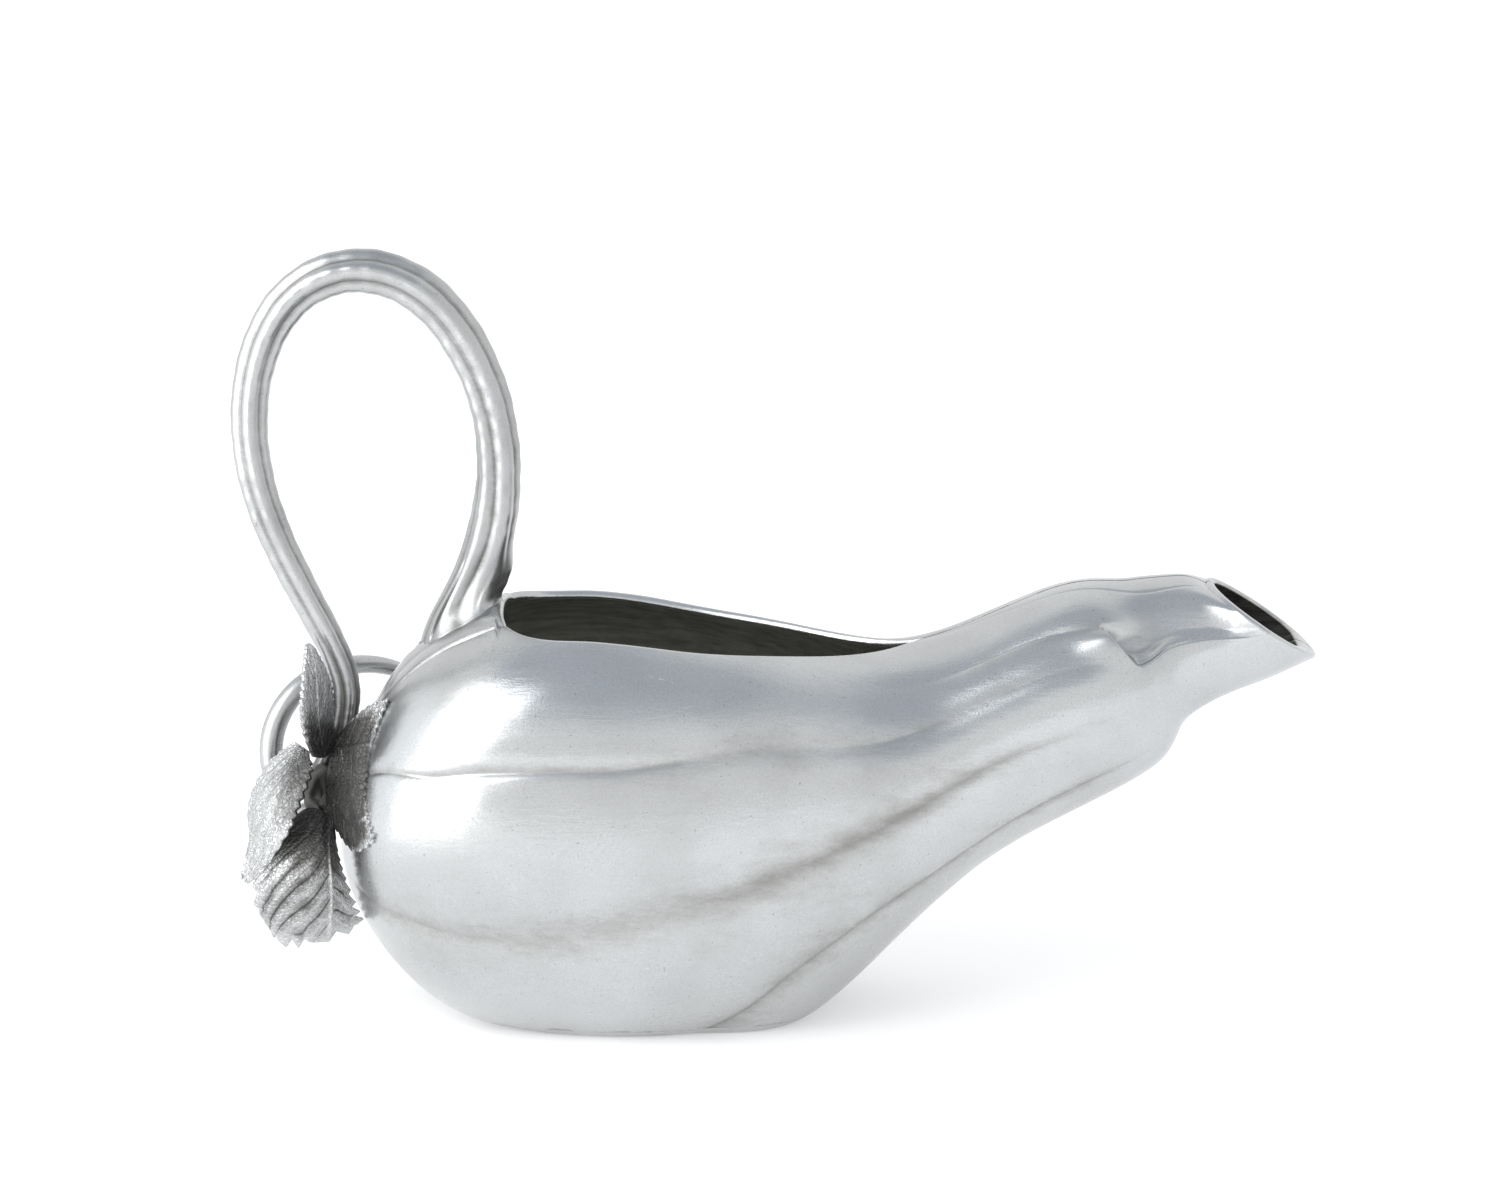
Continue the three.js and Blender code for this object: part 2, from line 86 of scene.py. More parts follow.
LEAVES = {
    "leaf_upright": (
        ((-72.5, -13, 60), (-70.6, -9, 59), (-68.6, -4, 60)),
        ((-74.4, -17, 68), (-71.6, -10, 67), (-69, -2, 68)),
        ((-74.6, -15, 75), (-72, -9, 74.5), (-69.6, -2.5, 74.5)),
        ((-74.5, -10, 80.5), (-73, -7.5, 80.5), (-71.4, -4, 80)),
        ((-74.3, -7.6, 84.2), (-73.7, -7, 84.4), (-73.1, -6.4, 84.2)),
    ),
    "leaf_outer": (
        ((-77, -7, 61.5), (-75.3, -10, 61.4), (-73.6, -12.5, 60.3)),
        ((-83, -6, 56.5), (-78.6, -14, 56), (-72.6, -18.5, 57.6)),
        ((-87.5, -6, 47.5), (-82.2, -15, 48), (-75.2, -20.5, 50.4)),
        ((-87.2, -8.5, 40.5), (-83.8, -15.5, 40.7), (-78, -20.5, 43.8)),
        ((-88.9, -13, 33), (-87.6, -14.5, 32), (-85, -16, 32.4)),
    ),
    "leaf_side": (
        ((-66.4, -9, 64.5), (-69, -9.5, 56.6), (-70.3, -12, 46.5)),
        ((-63.2, -12.5, 68.5), (-65, -15, 56.6), (-66.8, -16, 43.5)),
        ((-59.4, -14.5, 72), (-62.4, -20.5, 57), (-62.6, -25, 41.5)),
        ((-56, -15.8, 73.8), (-60.6, -23.2, 58.5), (-58.4, -32.4, 46.1)),
    ),
    "leaf_lower": (
        ((-75, -11, 47), (-70.6, -12, 46.8), (-68.4, -13, 42.6)),
        ((-81, -14.5, 41.5), (-72, -19, 39), (-66.8, -17.5, 37)),
        ((-85.6, -16.5, 29.8), (-73.5, -20.5, 29.5), (-64.6, -17, 29.6)),
        ((-82.6, -14, 21.4), (-76.5, -17.5, 18.2), (-62.4, -13.5, 21.6)),
    ),
}

# ---------------------------------------------------------------- finish of the cast surface
# Each groove between the gourd's ribs: where it runs, as (station, degrees from the top), its soft dip and
# sharp crease, as (station, dip, crease) in shares of the radius, and their half widths in degrees.
GROOVES = {
    "crown": dict(
        path=((0, 6), (3, 9), (7.2, 1), (8.6, 8), (10.2, 14), (11.4, 22), (14, 23), (15, 20)),
        depth=((0, 0.01, 0.0), (0.8, 0.022, 0.006), (2.4, 0.022, 0.006), (3, 0.01, 0), (7, 0, 0),
               (7.6, 0, 0.01), (13.8, 0, 0.01), (14.4, 0, 0)),
        widths=(5, 0.8)),
    "shoulder": dict(
        path=((0, 20), (1.7, 20), (3, 22), (5, 31), (7, 36), (9, 40), (10.2, 48), (12, 56), (15, 60)),
        depth=((0, 0.014, 0.006), (0.9, 0.024, 0.024), (2.6, 0.024, 0.024), (3.3, 0.01, 0.01), (4, 0, 0),
               (6.6, 0.006, 0), (8.5, 0.024, 0.005), (10, 0.022, 0), (10.6, 0, 0)),
        widths=(8, 1.0)),
    "flank": dict(
        path=((0, 50), (1.1, 55), (2.6, 69), (4, 68), (6, 57), (8.2, 59), (9.8, 66), (10.7, 74), (12, 75),
              (13.3, 81.5), (15, 90)),
        depth=((0, 0.02, 0.006), (1.5, 0.024, 0.018), (4.2, 0.026, 0.014), (5.4, 0.03, 0),
               (8.5, 0.03, 0.004), (10, 0.012, 0), (10.6, 0, 0)),
        widths=(9, 1.1)),
    "waist": dict(
        path=((0, 128), (0.8, 124), (2, 118), (3.4, 114), (5, 101), (6, 91.5), (7.1, 88.5), (8, 90),
              (9.2, 96), (10.5, 98), (12, 99)),
        depth=((0, 0.03, 0.01), (2, 0.034, 0.008), (4, 0.036, 0.003), (6.2, 0.04, 0.01),
               (7.6, 0.038, 0.012), (9.5, 0.02, 0.004), (11, 0, 0)),
        widths=(11, 1.5)),
    "keel": dict(
        path=((0, 162), (3, 159), (5, 143), (6, 124), (6.6, 122), (7.6, 131), (9, 133), (12, 132)),
        depth=((0, 0.02, 0), (4, 0.02, 0), (5.4, 0.034, 0.01), (8, 0.034, 0.012), (10, 0.026, 0.008),
               (11.4, 0, 0)),
        widths=(10, 1.3)),
}
FOLD_STATION, FOLD_LEAN = 10.02, 0.025  # where the fold crosses 46 degrees, and its stations per degree
TROUGH_DEPTH, LOBE_HEIGHT, PETAL_HEIGHT = 0.18, 0.035, 0.05  # shares of the radius


def spline(values):
    """The natural cubic spline through values numbered 0, 1, 2, ..."""
    v = np.array(values, float)
    n = len(v)
    bend, share = np.zeros(n), np.zeros(n)
    for i in range(1, n - 1):
        push = 6 * (v[i + 1] - 2 * v[i] + v[i - 1])
        pivot = 4 - share[i - 1]
        share[i] = 1 / pivot
        bend[i] = (push - bend[i - 1]) / pivot
    for i in range(n - 2, 0, -1):
        bend[i] -= share[i] * bend[i + 1]

    def at(t):
        t = np.asarray(t, float)
        i = np.clip(np.floor(t).astype(int), 0, n - 2)
        b = t - i
        a = 1 - b
        return a * v[i] + b * v[i + 1] + ((a**3 - a) * bend[i] + (b**3 - b) * bend[i + 1]) / 6

    return at


def smooth(low, high, x):
    """0 up to low, 1 from high, and an S-shaped rise between."""
    t = np.clip((np.asarray(x, float) - low) / (high - low), 0, 1)
    return t * t * (3 - 2 * t)


def through(knots, column=1):
    """A smooth function through knots of (station, value, ...), level outside them."""
    k = np.array([knot[0] for knot in knots], float)
    v = np.array([knot[column] for knot in knots], float)
    slope = np.gradient(v, k)
    rises = np.diff(v)
    slope[1:-1] = np.where(rises[:-1] * rises[1:] <= 0, 0, slope[1:-1])
    slope[0] = slope[-1] = 0

    def at(s):
        s = np.clip(s, k[0], k[-1])
        i = np.clip(np.searchsorted(k, s, side="right") - 1, 0, len(k) - 2)
        h = k[i + 1] - k[i]
        t = (s - k[i]) / h
        return (v[i] * (1 + 2 * t) * (1 - t) ** 2 + slope[i] * h * t * (1 - t) ** 2
                + v[i + 1] * t * t * (3 - 2 * t) + slope[i + 1] * h * t * t * (t - 1))

    return at


outline_x = spline([s[1][0] for s in reversed(STATIONS)] + [STALK_END[0]] + [s[0][0] for s in STATIONS])
outline_z = spline([s[1][1] for s in reversed(STATIONS)] + [STALK_END[1]] + [s[0][1] for s in STATIONS])
half_width = spline([-s[2] for s in reversed(STATIONS)] + [0] + [s[2] for s in STATIONS])
groove_path = {name: through(g["path"]) for name, g in GROOVES.items()}
groove_dip = {name: through(g["depth"], 1) for name, g in GROOVES.items()}
groove_crease = {name: through(g["depth"], 2) for name, g in GROOVES.items()}


def grooves(s, a, sharp=1.0):
    """How far in the grooves pull the surface, as a share of the radius."""
    fade = smooth(0, 1.2, s)
    pull = 0
    for name, g in GROOVES.items():
        away = np.abs(a - groove_path[name](s))
        wide, thin = g["widths"]
        pull = pull + groove_dip[name](s) * np.exp(0.3 - np.hypot(away / wide, 0.3))
        pull = pull + sharp * groove_crease[name](s) * np.exp(0.4 - np.hypot(away / thin, 0.4))
    return pull * fade


def bell(x, centre, before, after=None):
    """1 at the centre, falling away over 'before' below it and 'after' above it."""
    after = before if after is None else after
    d = x - centre
    return np.exp(-((d / np.where(d < 0, before, after)) ** 2))


def spout_relief(s, a, sharp=1.0):
    """The pinch, the fold in front of it, and the trough above a crisp ledge along the spout's side."""
    crease = groove_path["flank"](s)
    blur = 1 + 3 * (1 - sharp)
    # the trough: it starts with a step at the ledge, is deepest a little above it, and fades to the top
    above = crease - a
    step = smooth(-1.2 * blur, 1.6 * blur, above)
    deep = 0.3 + 0.7 * smooth(0, 12, above)
    past = s - FOLD_STATION - FOLD_LEAN * (a - 46)
    window = smooth(42, 52, a)
    start = window * smooth(-0.03 * blur, 0.06 * blur, past) + (1 - window) * smooth(9.9, 11.2, s)
    along = start * (1 - 0.5 * smooth(11.2, 13.5, s)) * (1 - smooth(13.7, 15.6, s))
    trough = TROUGH_DEPTH * step * deep * (1 - smooth(12, 60, above)) * along
    lobe = -LOBE_HEIGHT * bell(-above, 12, 12, 22) * smooth(10.9, 11.8, s) * (1 - smooth(13.2, 14.8, s))
    # the fold: a raised petal that ends at the trough
    behind = 1 - smooth(-0.02 * blur, 0.06 * blur, past)
    petal = -PETAL_HEIGHT * behind * bell(past, 0, 0.5, 1) * bell(a, 54, 7, 15)
    dent = 0.022 * bell(past, -0.95, 0.7, 0.45) * bell(a, 50, 12, 14)
    notch = 0.04 * bell(s, 10.78, 0.3 * blur, 0.5 * blur) * bell(a, 74, 8, 12)
    waist = 0.05 * bell(s, 10.9 + 1.1 * smooth(95, 170, a), 0.55) * smooth(78, 110, a)
    saddle = 0.02 * bell(s, 10.8, 0.7) * (1 - smooth(20, 40, a))
    return trough + lobe + petal + dent + notch + waist + saddle


def squareness(s, a):
    """The belly is squarer than an ellipse: a little round the mouth, and more underneath."""
    full = 1 - smooth(5.5, 7.5, s)
    back = smooth(1.5, 3.2, s) * full * (1 - smooth(60, 90, a))
    belly = smooth(1.2, 3.2, s) * full * smooth(90, 130, a)
    power = 2 + 0.5 * back + 0.9 * belly
    c, n = np.abs(np.cos(np.radians(a))), np.abs(np.sin(np.radians(a)))
    return (c**power + n**power) ** (-1 / power)


def surface(s, a, sharp=1.0):
    """Points of the near half of the body's outside, at stations s and angles a from 0 to 180 degrees."""
    s, a = np.broadcast_arrays(np.asarray(s, float), np.asarray(a, float))
    top, bottom = (np.stack([outline_x(at), outline_z(at)], -1) for at in (LAST + s, LAST - s))
    scale = squareness(s, a) * (1 - grooves(s, a, sharp) - spout_relief(s, a, sharp))
    up = (np.cos(np.radians(a)) * scale)[..., None]
    side = np.sin(np.radians(a)) * scale * half_width(LAST + s)
    middle = (top + bottom) / 2 + (top - bottom) / 2 * up
    return np.stack([middle[..., 0], -side, middle[..., 1]], -1)


def unit(v):
    return v / np.maximum(np.linalg.norm(v, axis=-1, keepdims=True), 1e-12)


def surface_normal(s, a, sharp=1.0):
    s = np.clip(s, 0.02, LAST - 0.02)
    a = np.clip(a, 0.3, 179.7)
    along = surface(s + 0.01, a, sharp) - surface(s - 0.01, a, sharp)
    down = surface(s, a + 0.2, sharp) - surface(s, a - 0.2, sharp)
    return unit(np.cross(down, along))


def wall(s, a):
    """Wall thickness: WALL all over, and more in the lower lip of the spout."""
    return WALL + (LIP_WALL - WALL) * smooth(12.5, 15, s) * smooth(110, 175, a)


def inner_surface(s, a):
    """The inside: a wall's thickness in from the outside, and in the plane of the rim at the very lip."""
    outside = surface(s, a, 0.0)
    top, bottom = (np.stack([outline_x(at), 0 * s, outline_z(at)], -1) for at in (LAST + s, LAST - s))
    inward = -surface_normal(s, a, 0.0)
    across = unit((top + bottom) / 2 - outside)
    share = smooth(13.6, 15, s)[..., None]
    return outside + unit(inward * (1 - share) + across * share) * wall(s, a)[..., None]


# ---------------------------------------------------------------- the grid over one half of the body
RIM_ROUND = 0.85  # how far the rounded rims stand out from the ends of the two surfaces
COLUMN_MARKS = (0, 0.12, 0.28, 0.46, 0.64, 0.82, 1)  # where the grooves run, as shares of a row
ROW_GAPS = ((0, 0.05), (0.6, 0.055), (2.2, 0.037), (8.2, 0.042), (9.2, 0.055), (9.8, 0.036), (12.2, 0.036),
            (13, 0.05), (15, 0.05))  # (station, step to the next row in stations)
COLUMN_STEPS = 156
COLUMN_PULL = 0.72  # how strongly the columns crowd round the grooves
MOUTH_ROUNDNESS = 0.6  # of its rear end: 1 is an ellipse, and smaller is squarer
CAST_WAVES = 0.1  # height of the unevenness of the casting
RIM_STRIPS = 7


def spaced(points, count):
    """Parameters 0..1 of 'count' points evenly spaced along a polyline."""
    gaps = np.linalg.norm(np.diff(points, axis=0), axis=1)
    run = np.concatenate([[0], np.cumsum(gaps)])
    return np.interp(np.linspace(0, run[-1], count), run, np.arange(len(points)) / (len(points) - 1.0))


def mouth_outline(count):
    """Points (x, |y|) of the mouth's edge from rear to front, far enough out to leave room for the rim."""
    rear, front, half = MOUTH_REAR - RIM_ROUND, MOUTH_FRONT + RIM_ROUND, MOUTH_HALF + RIM_ROUND
    u = np.linspace(0, 1, 4001)
    behind = np.cos(u * math.pi / 2) ** MOUTH_ROUNDNESS
    aside = (1 - behind ** (2 / MOUTH_ROUNDNESS)) ** (MOUTH_ROUNDNESS / 2)
    rear_part = np.stack([MOUTH_WIDEST + (rear - MOUTH_WIDEST) * behind, half * aside], 1)
    ahead = np.linspace(0, 1, 4001)[1:]
    front_part = np.stack([MOUTH_WIDEST + (front - MOUTH_WIDEST) * ahead, half * (1 - ahead**2)], 1)
    line = np.concatenate([rear_part, front_part])
    at = spaced(line, count) * (len(line) - 1)
    return np.stack([np.interp(at, np.arange(len(line)), line[:, k]) for k in (0, 1)], 1)


def on_surface(x, y):
    """The (station, angle) where the upper side of the near half has these x and |y|."""
    stations = np.linspace(0, LAST, 1501)
    s = np.interp(x, outline_x(LAST + stations), stations)
    a = np.degrees(np.arcsin(np.clip(y / half_width(LAST + s), 0, 0.95)))
    for _ in range(14):
        here = surface(s, a)
        by_s = (surface(s + 0.001, a) - here) / 0.001
        by_a = (surface(s, a + 0.01) - here) / 0.01
        off_x, off_y = x - here[:, 0], -y - here[:, 1]
        det = by_s[:, 0] * by_a[:, 1] - by_a[:, 0] * by_s[:, 1]
        s = s + np.clip((off_x * by_a[:, 1] - off_y * by_a[:, 0]) / det, -0.3, 0.3)
        a = np.maximum(a + np.clip((off_y * by_s[:, 0] - off_x * by_s[:, 1]) / det, -8, 8), 0)
    return s, a


def row_stations():
    """Stations of the grid's rows at the bottom seam, closer together where the shape is finer."""
    at, gap = zip(*ROW_GAPS)
    s = [0.0]
    while s[-1] < LAST:
        s.append(s[-1] + float(np.interp(s[-1], at, gap)))
    return np.array(s) * LAST / s[-1]


def row_starts(rows):
    """(station, angle, is it on the mouth) where each row starts: on the top seam or on the mouth's edge."""
    near_rear, near_front = 2.2, 8.2
    first, last = np.searchsorted(rows, near_rear), np.searchsorted(rows, near_front)
    mouth = mouth_outline(1200)
    ms, ma = on_surface(mouth[:, 0], mouth[:, 1])
    ms, ma = ms[1:-1], ma[1:-1]
    ma[0] = ma[-1] = 0
    rear_s = np.linspace(rows[first], ms[0], 40)[:-1]
    front_s = np.linspace(ms[-1], rows[last], 60)[1:]
    s = np.concatenate([rear_s, ms, front_s])
    a = np.concatenate([0 * rear_s, ma, 0 * front_s])
    line = surface(s, a)
    weight = 1 + 2.2 * bell(s[1:], ms[0] + 0.1, 0.25, 0.45)
    run = np.concatenate([[0], np.cumsum(np.linalg.norm(np.diff(line, axis=0), axis=1) * weight)])
    corners = run[[0, len(rear_s), len(rear_s) + len(ms) - 1, -1]]
    count = last - first
    shares = np.maximum(np.round(np.diff(corners) / corners[-1] * count).astype(int), 3)
    shares[1] = count - shares[0] - shares[2]
    marks = np.concatenate([np.linspace(corners[k], corners[k + 1], shares[k] + 1)[:-1] for k in range(3)])
    new_s, new_a = rows.copy(), 0 * rows
    new_s[first:last] = np.interp(marks, run, s)
    new_a[first:last] = np.interp(marks, run, a)
    on_mouth = np.zeros(len(rows), bool)
    on_mouth[first + shares[0] : first + shares[0] + shares[1] + 1] = True
    new_a[first + shares[0]] = new_a[first + shares[0] + shares[1]] = 0
    return new_s, new_a, on_mouth


def body_grid():
    """Stations and angles of every grid point of one half, and which rows start on the mouth."""
    rows = row_stations()
    start_s, start_a, on_mouth = row_starts(rows)
    t = np.linspace(0, 1, COLUMN_STEPS + 1)
    marks = np.array(COLUMN_MARKS)
    k = np.clip(np.searchsorted(marks, t, side="right") - 1, 0, len(marks) - 2)
    u = (t - marks[k]) / (marks[k + 1] - marks[k])
    u = u - COLUMN_PULL * np.sin(2 * math.pi * u) / (2 * math.pi)
    s = start_s[:, None] + (rows - start_s)[:, None] * smooth(0, 0.45, t)[None, :]
    edge = np.interp(s, start_s[on_mouth], start_a[on_mouth], left=0, right=0)
    lines = [np.maximum(start_a[:, None], edge)]
    for name, room in (("crown", 3), ("shoulder", 6), ("flank", 9), ("waist", 6), ("keel", 9)):
        lines.append(np.maximum(groove_path[name](s), lines[-1] + room))
    lines.append(np.full(s.shape, 180.0))
    lines = np.stack(lines, -1)
    i, j = np.indices(s.shape)
    a = lines[i, j, k[j]] * (1 - u[j]) + lines[i, j, k[j] + 1] * u[j]
    return s, a, on_mouth


def snap_to_foot(s, a):
    """Moves the first grid points below the foot plate's top up to its edge, which makes a clean line."""
    z = surface(s, a)[..., 2]
    low = z < FOOT_PLATE
    s, a = s.copy(), a.copy()
    moved = np.zeros(low.shape, bool)
    for di, dj in ((0, -1), (-1, 0), (1, 0)):
        above = ~np.roll(low, (-di, -dj), (0, 1))
        pick = low & above & ~moved
        pick[0] = pick[-1] = False
        i, j = np.nonzero(pick)
        lo_s, lo_a, hi_s, hi_a = s[i, j], a[i, j], s[i + di, j + dj], a[i + di, j + dj]
        f0, f1 = np.zeros(len(i)), np.ones(len(i))
        for _ in range(24):
            f = (f0 + f1) / 2
            under = surface(lo_s + (hi_s - lo_s) * f, lo_a + (hi_a - lo_a) * f)[..., 2] < FOOT_PLATE
            f0, f1 = np.where(under, f, f0), np.where(under, f1, f)
        s[i, j], a[i, j] = lo_s + (hi_s - lo_s) * f1, lo_a + (hi_a - lo_a) * f1
        moved |= pick
    return s, a


def seamed(points, side):
    """Moves the near half off the seam, and mirrors it if side is +1, the far half."""
    out = points.copy()
    out[..., 1] = SEAM / 2 + (1 - SEAM / 2 / max(st[2] for st in STATIONS)) * np.abs(points[..., 1])
    out[..., 1] *= side
    return out


def grid_faces(rows, columns, first=0, flip=False):
    """Quads over a grid of rows x columns points, numbered from 'first'."""
    i, j = np.meshgrid(np.arange(rows - 1), np.arange(columns - 1), indexing="ij")
    a = (first + i * columns + j).ravel()
    quads = np.stack([a, a + 1, a + columns + 1, a + columns], 1)
    return quads[:, ::-1] if flip else quads


def add_piece(name, points, faces, slot_material, attributes=None):
    """A smooth piece, points in millimetres, in the place of the CAD node of the same name."""
    mesh = bpy.data.meshes.new(name)
    mesh.from_pydata((np.asarray(points, float) * MM).tolist(), [], [list(map(int, f)) for f in faces])
    for key, values in (attributes or {}).items():
        layer = mesh.attributes.new(key, "FLOAT", "POINT")
        layer.data.foreach_set("value", np.asarray(values, np.float32))
    bm = bmesh.new()
    bm.from_mesh(mesh)
    bmesh.ops.remove_doubles(bm, verts=bm.verts, dist=WELD)
    bmesh.ops.dissolve_degenerate(bm, edges=bm.edges, dist=WELD / 10)
    bmesh.ops.recalc_face_normals(bm, faces=bm.faces)
    for face in bm.faces:
        face.smooth = True
    bm.to_mesh(mesh)
    bm.free()
    mesh.materials.append(slot_material)
    piece = bpy.data.objects.new(name, mesh)
    bpy.context.scene.collection.objects.link(piece)
    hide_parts(name)
    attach(piece, "root")


def hand_finish(p, size):
    """Small smooth unevenness of a hand-finished casting, the same for the same point."""
    x, y, z = p[..., 0], p[..., 1], p[..., 2]
    waves = (np.sin(0.11 * x + 0.07 * z + 1.3) * np.cos(0.13 * z - 0.05 * y + 0.4)
             + 0.6 * np.sin(0.21 * x - 0.17 * z + 0.11 * y) + 0.35 * np.sin(0.37 * z + 0.29 * x + 2.1)
             + 0.25 * np.cos(0.47 * x - 0.41 * y + 0.7))
    return size * waves / 2.2


def half_sheets(s, a, on_mouth, side):
    """The outer and the inner grid of points of one half, off the seam and down to the foot plate."""
    columns = s.shape[1]
    off_seam = smooth(0, 6, a) * (1 - smooth(174, 180, a))
    outer = surface(s, a)
    uneven = hand_finish(outer, CAST_WAVES) * off_seam * smooth(0, 1, s)
    outer = outer + surface_normal(s, a) * uneven[..., None]
    inner = inner_surface(s, a)
    column = np.arange(columns)[None, :]
    on_seam = (column == 0) & ~on_mouth[:, None] | (column == columns - 1)
    for sheet, lowest in ((outer, FOOT_PLATE), (inner, FOOT_PLATE + WALL)):
        sheet[..., 1] = np.minimum(sheet[..., 1], 0)
        sheet[..., 1][on_seam] = 0
        sheet[..., 2] = np.maximum(sheet[..., 2], lowest)
    return seamed(outer, side), seamed(inner, side)


def rim_directions(po, pi, on_mouth, lip_top, lip_bottom):
    """Which way the open edge bulges, point by point, for the edge points po outside and pi inside."""
    middle = (po + pi) / 2
    along = np.roll(middle, -1, 0) - np.roll(middle, 1, 0)
    rear, front = np.nonzero(on_mouth)[0][[0, -1]]
    for corner, step in ((rear, 1), (front, -1), (lip_top, 1), (lip_bottom, -1)):
        along[corner] = (middle[corner + step] - middle[corner]) * step
    out = unit(np.cross(along, unit(po - pi)))
    for end in (rear, front, lip_top, lip_bottom):
        out[end, 1] = 0
    return unit(out)


def build_half(name, side, slot_material):
    s, a, on_mouth = body_grid()
    s, a = snap_to_foot(s, a)
    rows, columns = s.shape
    outer, inner = half_sheets(s, a, on_mouth, side)

    # the open edge: top seam and mouth, the spout's lip, the bottom seam
    loop = ([(i, 0) for i in range(rows)] + [(rows - 1, j) for j in range(1, columns)]
            + [(i, columns - 1) for i in range(rows - 2, -1, -1)])
    li, lj = np.array(loop).T
    po, pi = outer[li, lj], inner[li, lj]
    bulge = np.where((lj == 0) & on_mouth[li] | (li == rows - 1), RIM_ROUND, 0.0)
    out = rim_directions(po, pi, on_mouth, rows - 1, rows + columns - 2) * side
    points = [outer.reshape(-1, 3), inner.reshape(-1, 3)]
    faces = [grid_faces(rows, columns), grid_faces(rows, columns, rows * columns, flip=True)]
    number = [np.array([r * columns + c for r, c in loop])]
    first = 2 * rows * columns
    for k in range(1, RIM_STRIPS):
        share = 0.5 - 0.5 * math.cos(math.pi * k / RIM_STRIPS)
        height = (1 - abs(2 * share - 1) ** 2.6) ** (1 / 2.6)
        points.append(po + (pi - po) * share + out * (bulge * height)[:, None])
        number.append(first + (k - 1) * len(loop) + np.arange(len(loop)))
    number.append(rows * columns + number[0])
    for one, two in zip(number, number[1:]):
        faces.append(np.stack([one[:-1], two[:-1], two[1:], one[1:]], 1))

    # 1 inside, and 2 in the spout, whose inside is painted nearly black as shade; the rounded edge turns
    # from bright to dull across its inner half
    dullness_and_spout_shade = [np.zeros(rows * columns), 1 + smooth(11, 13, s.ravel())]
    dullness_and_spout_shade += [np.full(len(loop), smooth(0.55, 1, k / RIM_STRIPS)) for k in range(1, RIM_STRIPS)]
    under_fold = 0.42 * bell(s, 11.7, 1.3) * bell(a, 92, 16)
    cavity = grooves(s, a) * 15 + 3 * np.clip(spout_relief(s, a), 0, 1)
    cavity = np.clip(cavity + under_fold, 0, 1)
    stain_and_shade = np.concatenate([cavity.ravel(), np.zeros(rows * columns + (RIM_STRIPS - 1) * len(loop))])
    add_piece(name, np.concatenate(points), np.concatenate(faces), slot_material,
              {"inside": np.concatenate(dullness_and_spout_shade), "stain_and_shade": stain_and_shade})


def circle(count):
    return np.linspace(0, 2 * math.pi, count, endpoint=False)


def ring_faces(count, around, flip=False):
    """Quads between rings of points, 'around' points each, and a flat face on the first and last ring."""
    faces = []
    for k in range(count - 1):
        one, two = k * around + np.arange(around), (k + 1) * around + np.arange(around)
        quads = [one, np.roll(one, -1), np.roll(two, -1), two]
        faces += np.stack([quads[0], *quads[:0:-1]] if flip else quads, 1).tolist()
    return faces + [list(range(around)), list(range((count - 1) * around, count * around))]


# ---------------------------------------------------------------- foot plate
FOOT_RINGS = ((2.0, 0.25), (1.75, 0.0), (1.2, 0.0), (0.5, 0.1), (0.12, 0.4), (0.0, 0.9))  # (height, inset)
UNDERSIDE = ((4, 0), (5, 0.35), (12, 0.45))  # further rings of the underside: (set in by, raised by)


def level_line(z, count=96):
    """Points (x, y) right round the body's outside at height z near its foot, centred on the seam plane."""
    def seam_crossing(low, high):
        for _ in range(40):
            mid = (low + high) / 2
            if outline_z(LAST - mid) > z:
                low = mid
            else:
                high = mid
        return (low + high) / 2

    rear, front = seam_crossing(1.5, 4), seam_crossing(8, 5)
    s = rear + (front - rear) * (0.5 - 0.5 * np.cos(np.linspace(0, math.pi, count + 1)))
    low, high = np.full(len(s), 90.0), np.full(len(s), 180.0)
    for _ in range(40):
        mid = (low + high) / 2
        above = surface(s, mid, 0.0)[:, 2] > z
        low, high = np.where(above, mid, low), np.where(above, high, mid)
    near = surface(s, (low + high) / 2, 0.0)[:, :2]
    near[[0, -1], 1] = 0
    far = near[-2:0:-1] * (1, -1)
    return np.concatenate([near, far])


def build_foot_plate(slot_material):
    rings = []
    for z, inset in FOOT_RINGS:
        line = level_line(z)
        reach = np.linalg.norm(line, axis=1, keepdims=True)
        rings.append(np.column_stack([line * (1 - inset / reach), np.full(len(line), z)]))
    base = rings[-1]
    reach = np.linalg.norm(base[:, :2], axis=1, keepdims=True)
    for inset, raised in UNDERSIDE:
        rings.append(np.column_stack([base[:, :2] * (1 - inset / reach), np.full(len(base), raised)]))
    for share in (0.4, 0.15):
        rings.append(np.column_stack([base[:, :2] * share, np.full(len(base), UNDERSIDE[-1][1])]))
    height = np.full(len(base), FOOT_RINGS[0][0])
    rings = [np.column_stack([rings[0][:, :2] * share, height]) for share in (0.1, 0.6)] + rings
    faces = ring_faces(len(rings), len(base), flip=True)
    add_piece("foot_plate", np.concatenate(rings), faces, slot_material)


# ---------------------------------------------------------------- solder along the seams
SOLDER_SINK = 0.16
SEAM_ROWS = 24  # of points, per station
SEAM_OVERLAP = 0.01
# one section of a strip: (across, 0 outside or 1 inside, lift)
SEAM_SECTION = ((-1, 0, 0.1), (0, 0, -0.05), (1, 0, 0.1), (1, 1, 0), (0, 1, -0.1), (-1, 1, 0))
SEAM_RUNS = {  # piece: (angle of the seam, first station, last station)
    "seam_solder_neck": ((0, 7.32, 14.8),),
    "seam_solder_belly": ((180, 6.1, 14.8),),
    "seam_solder_rear": ((0, 2.9, 0.0), (180, 0.0, 2.75)),
}


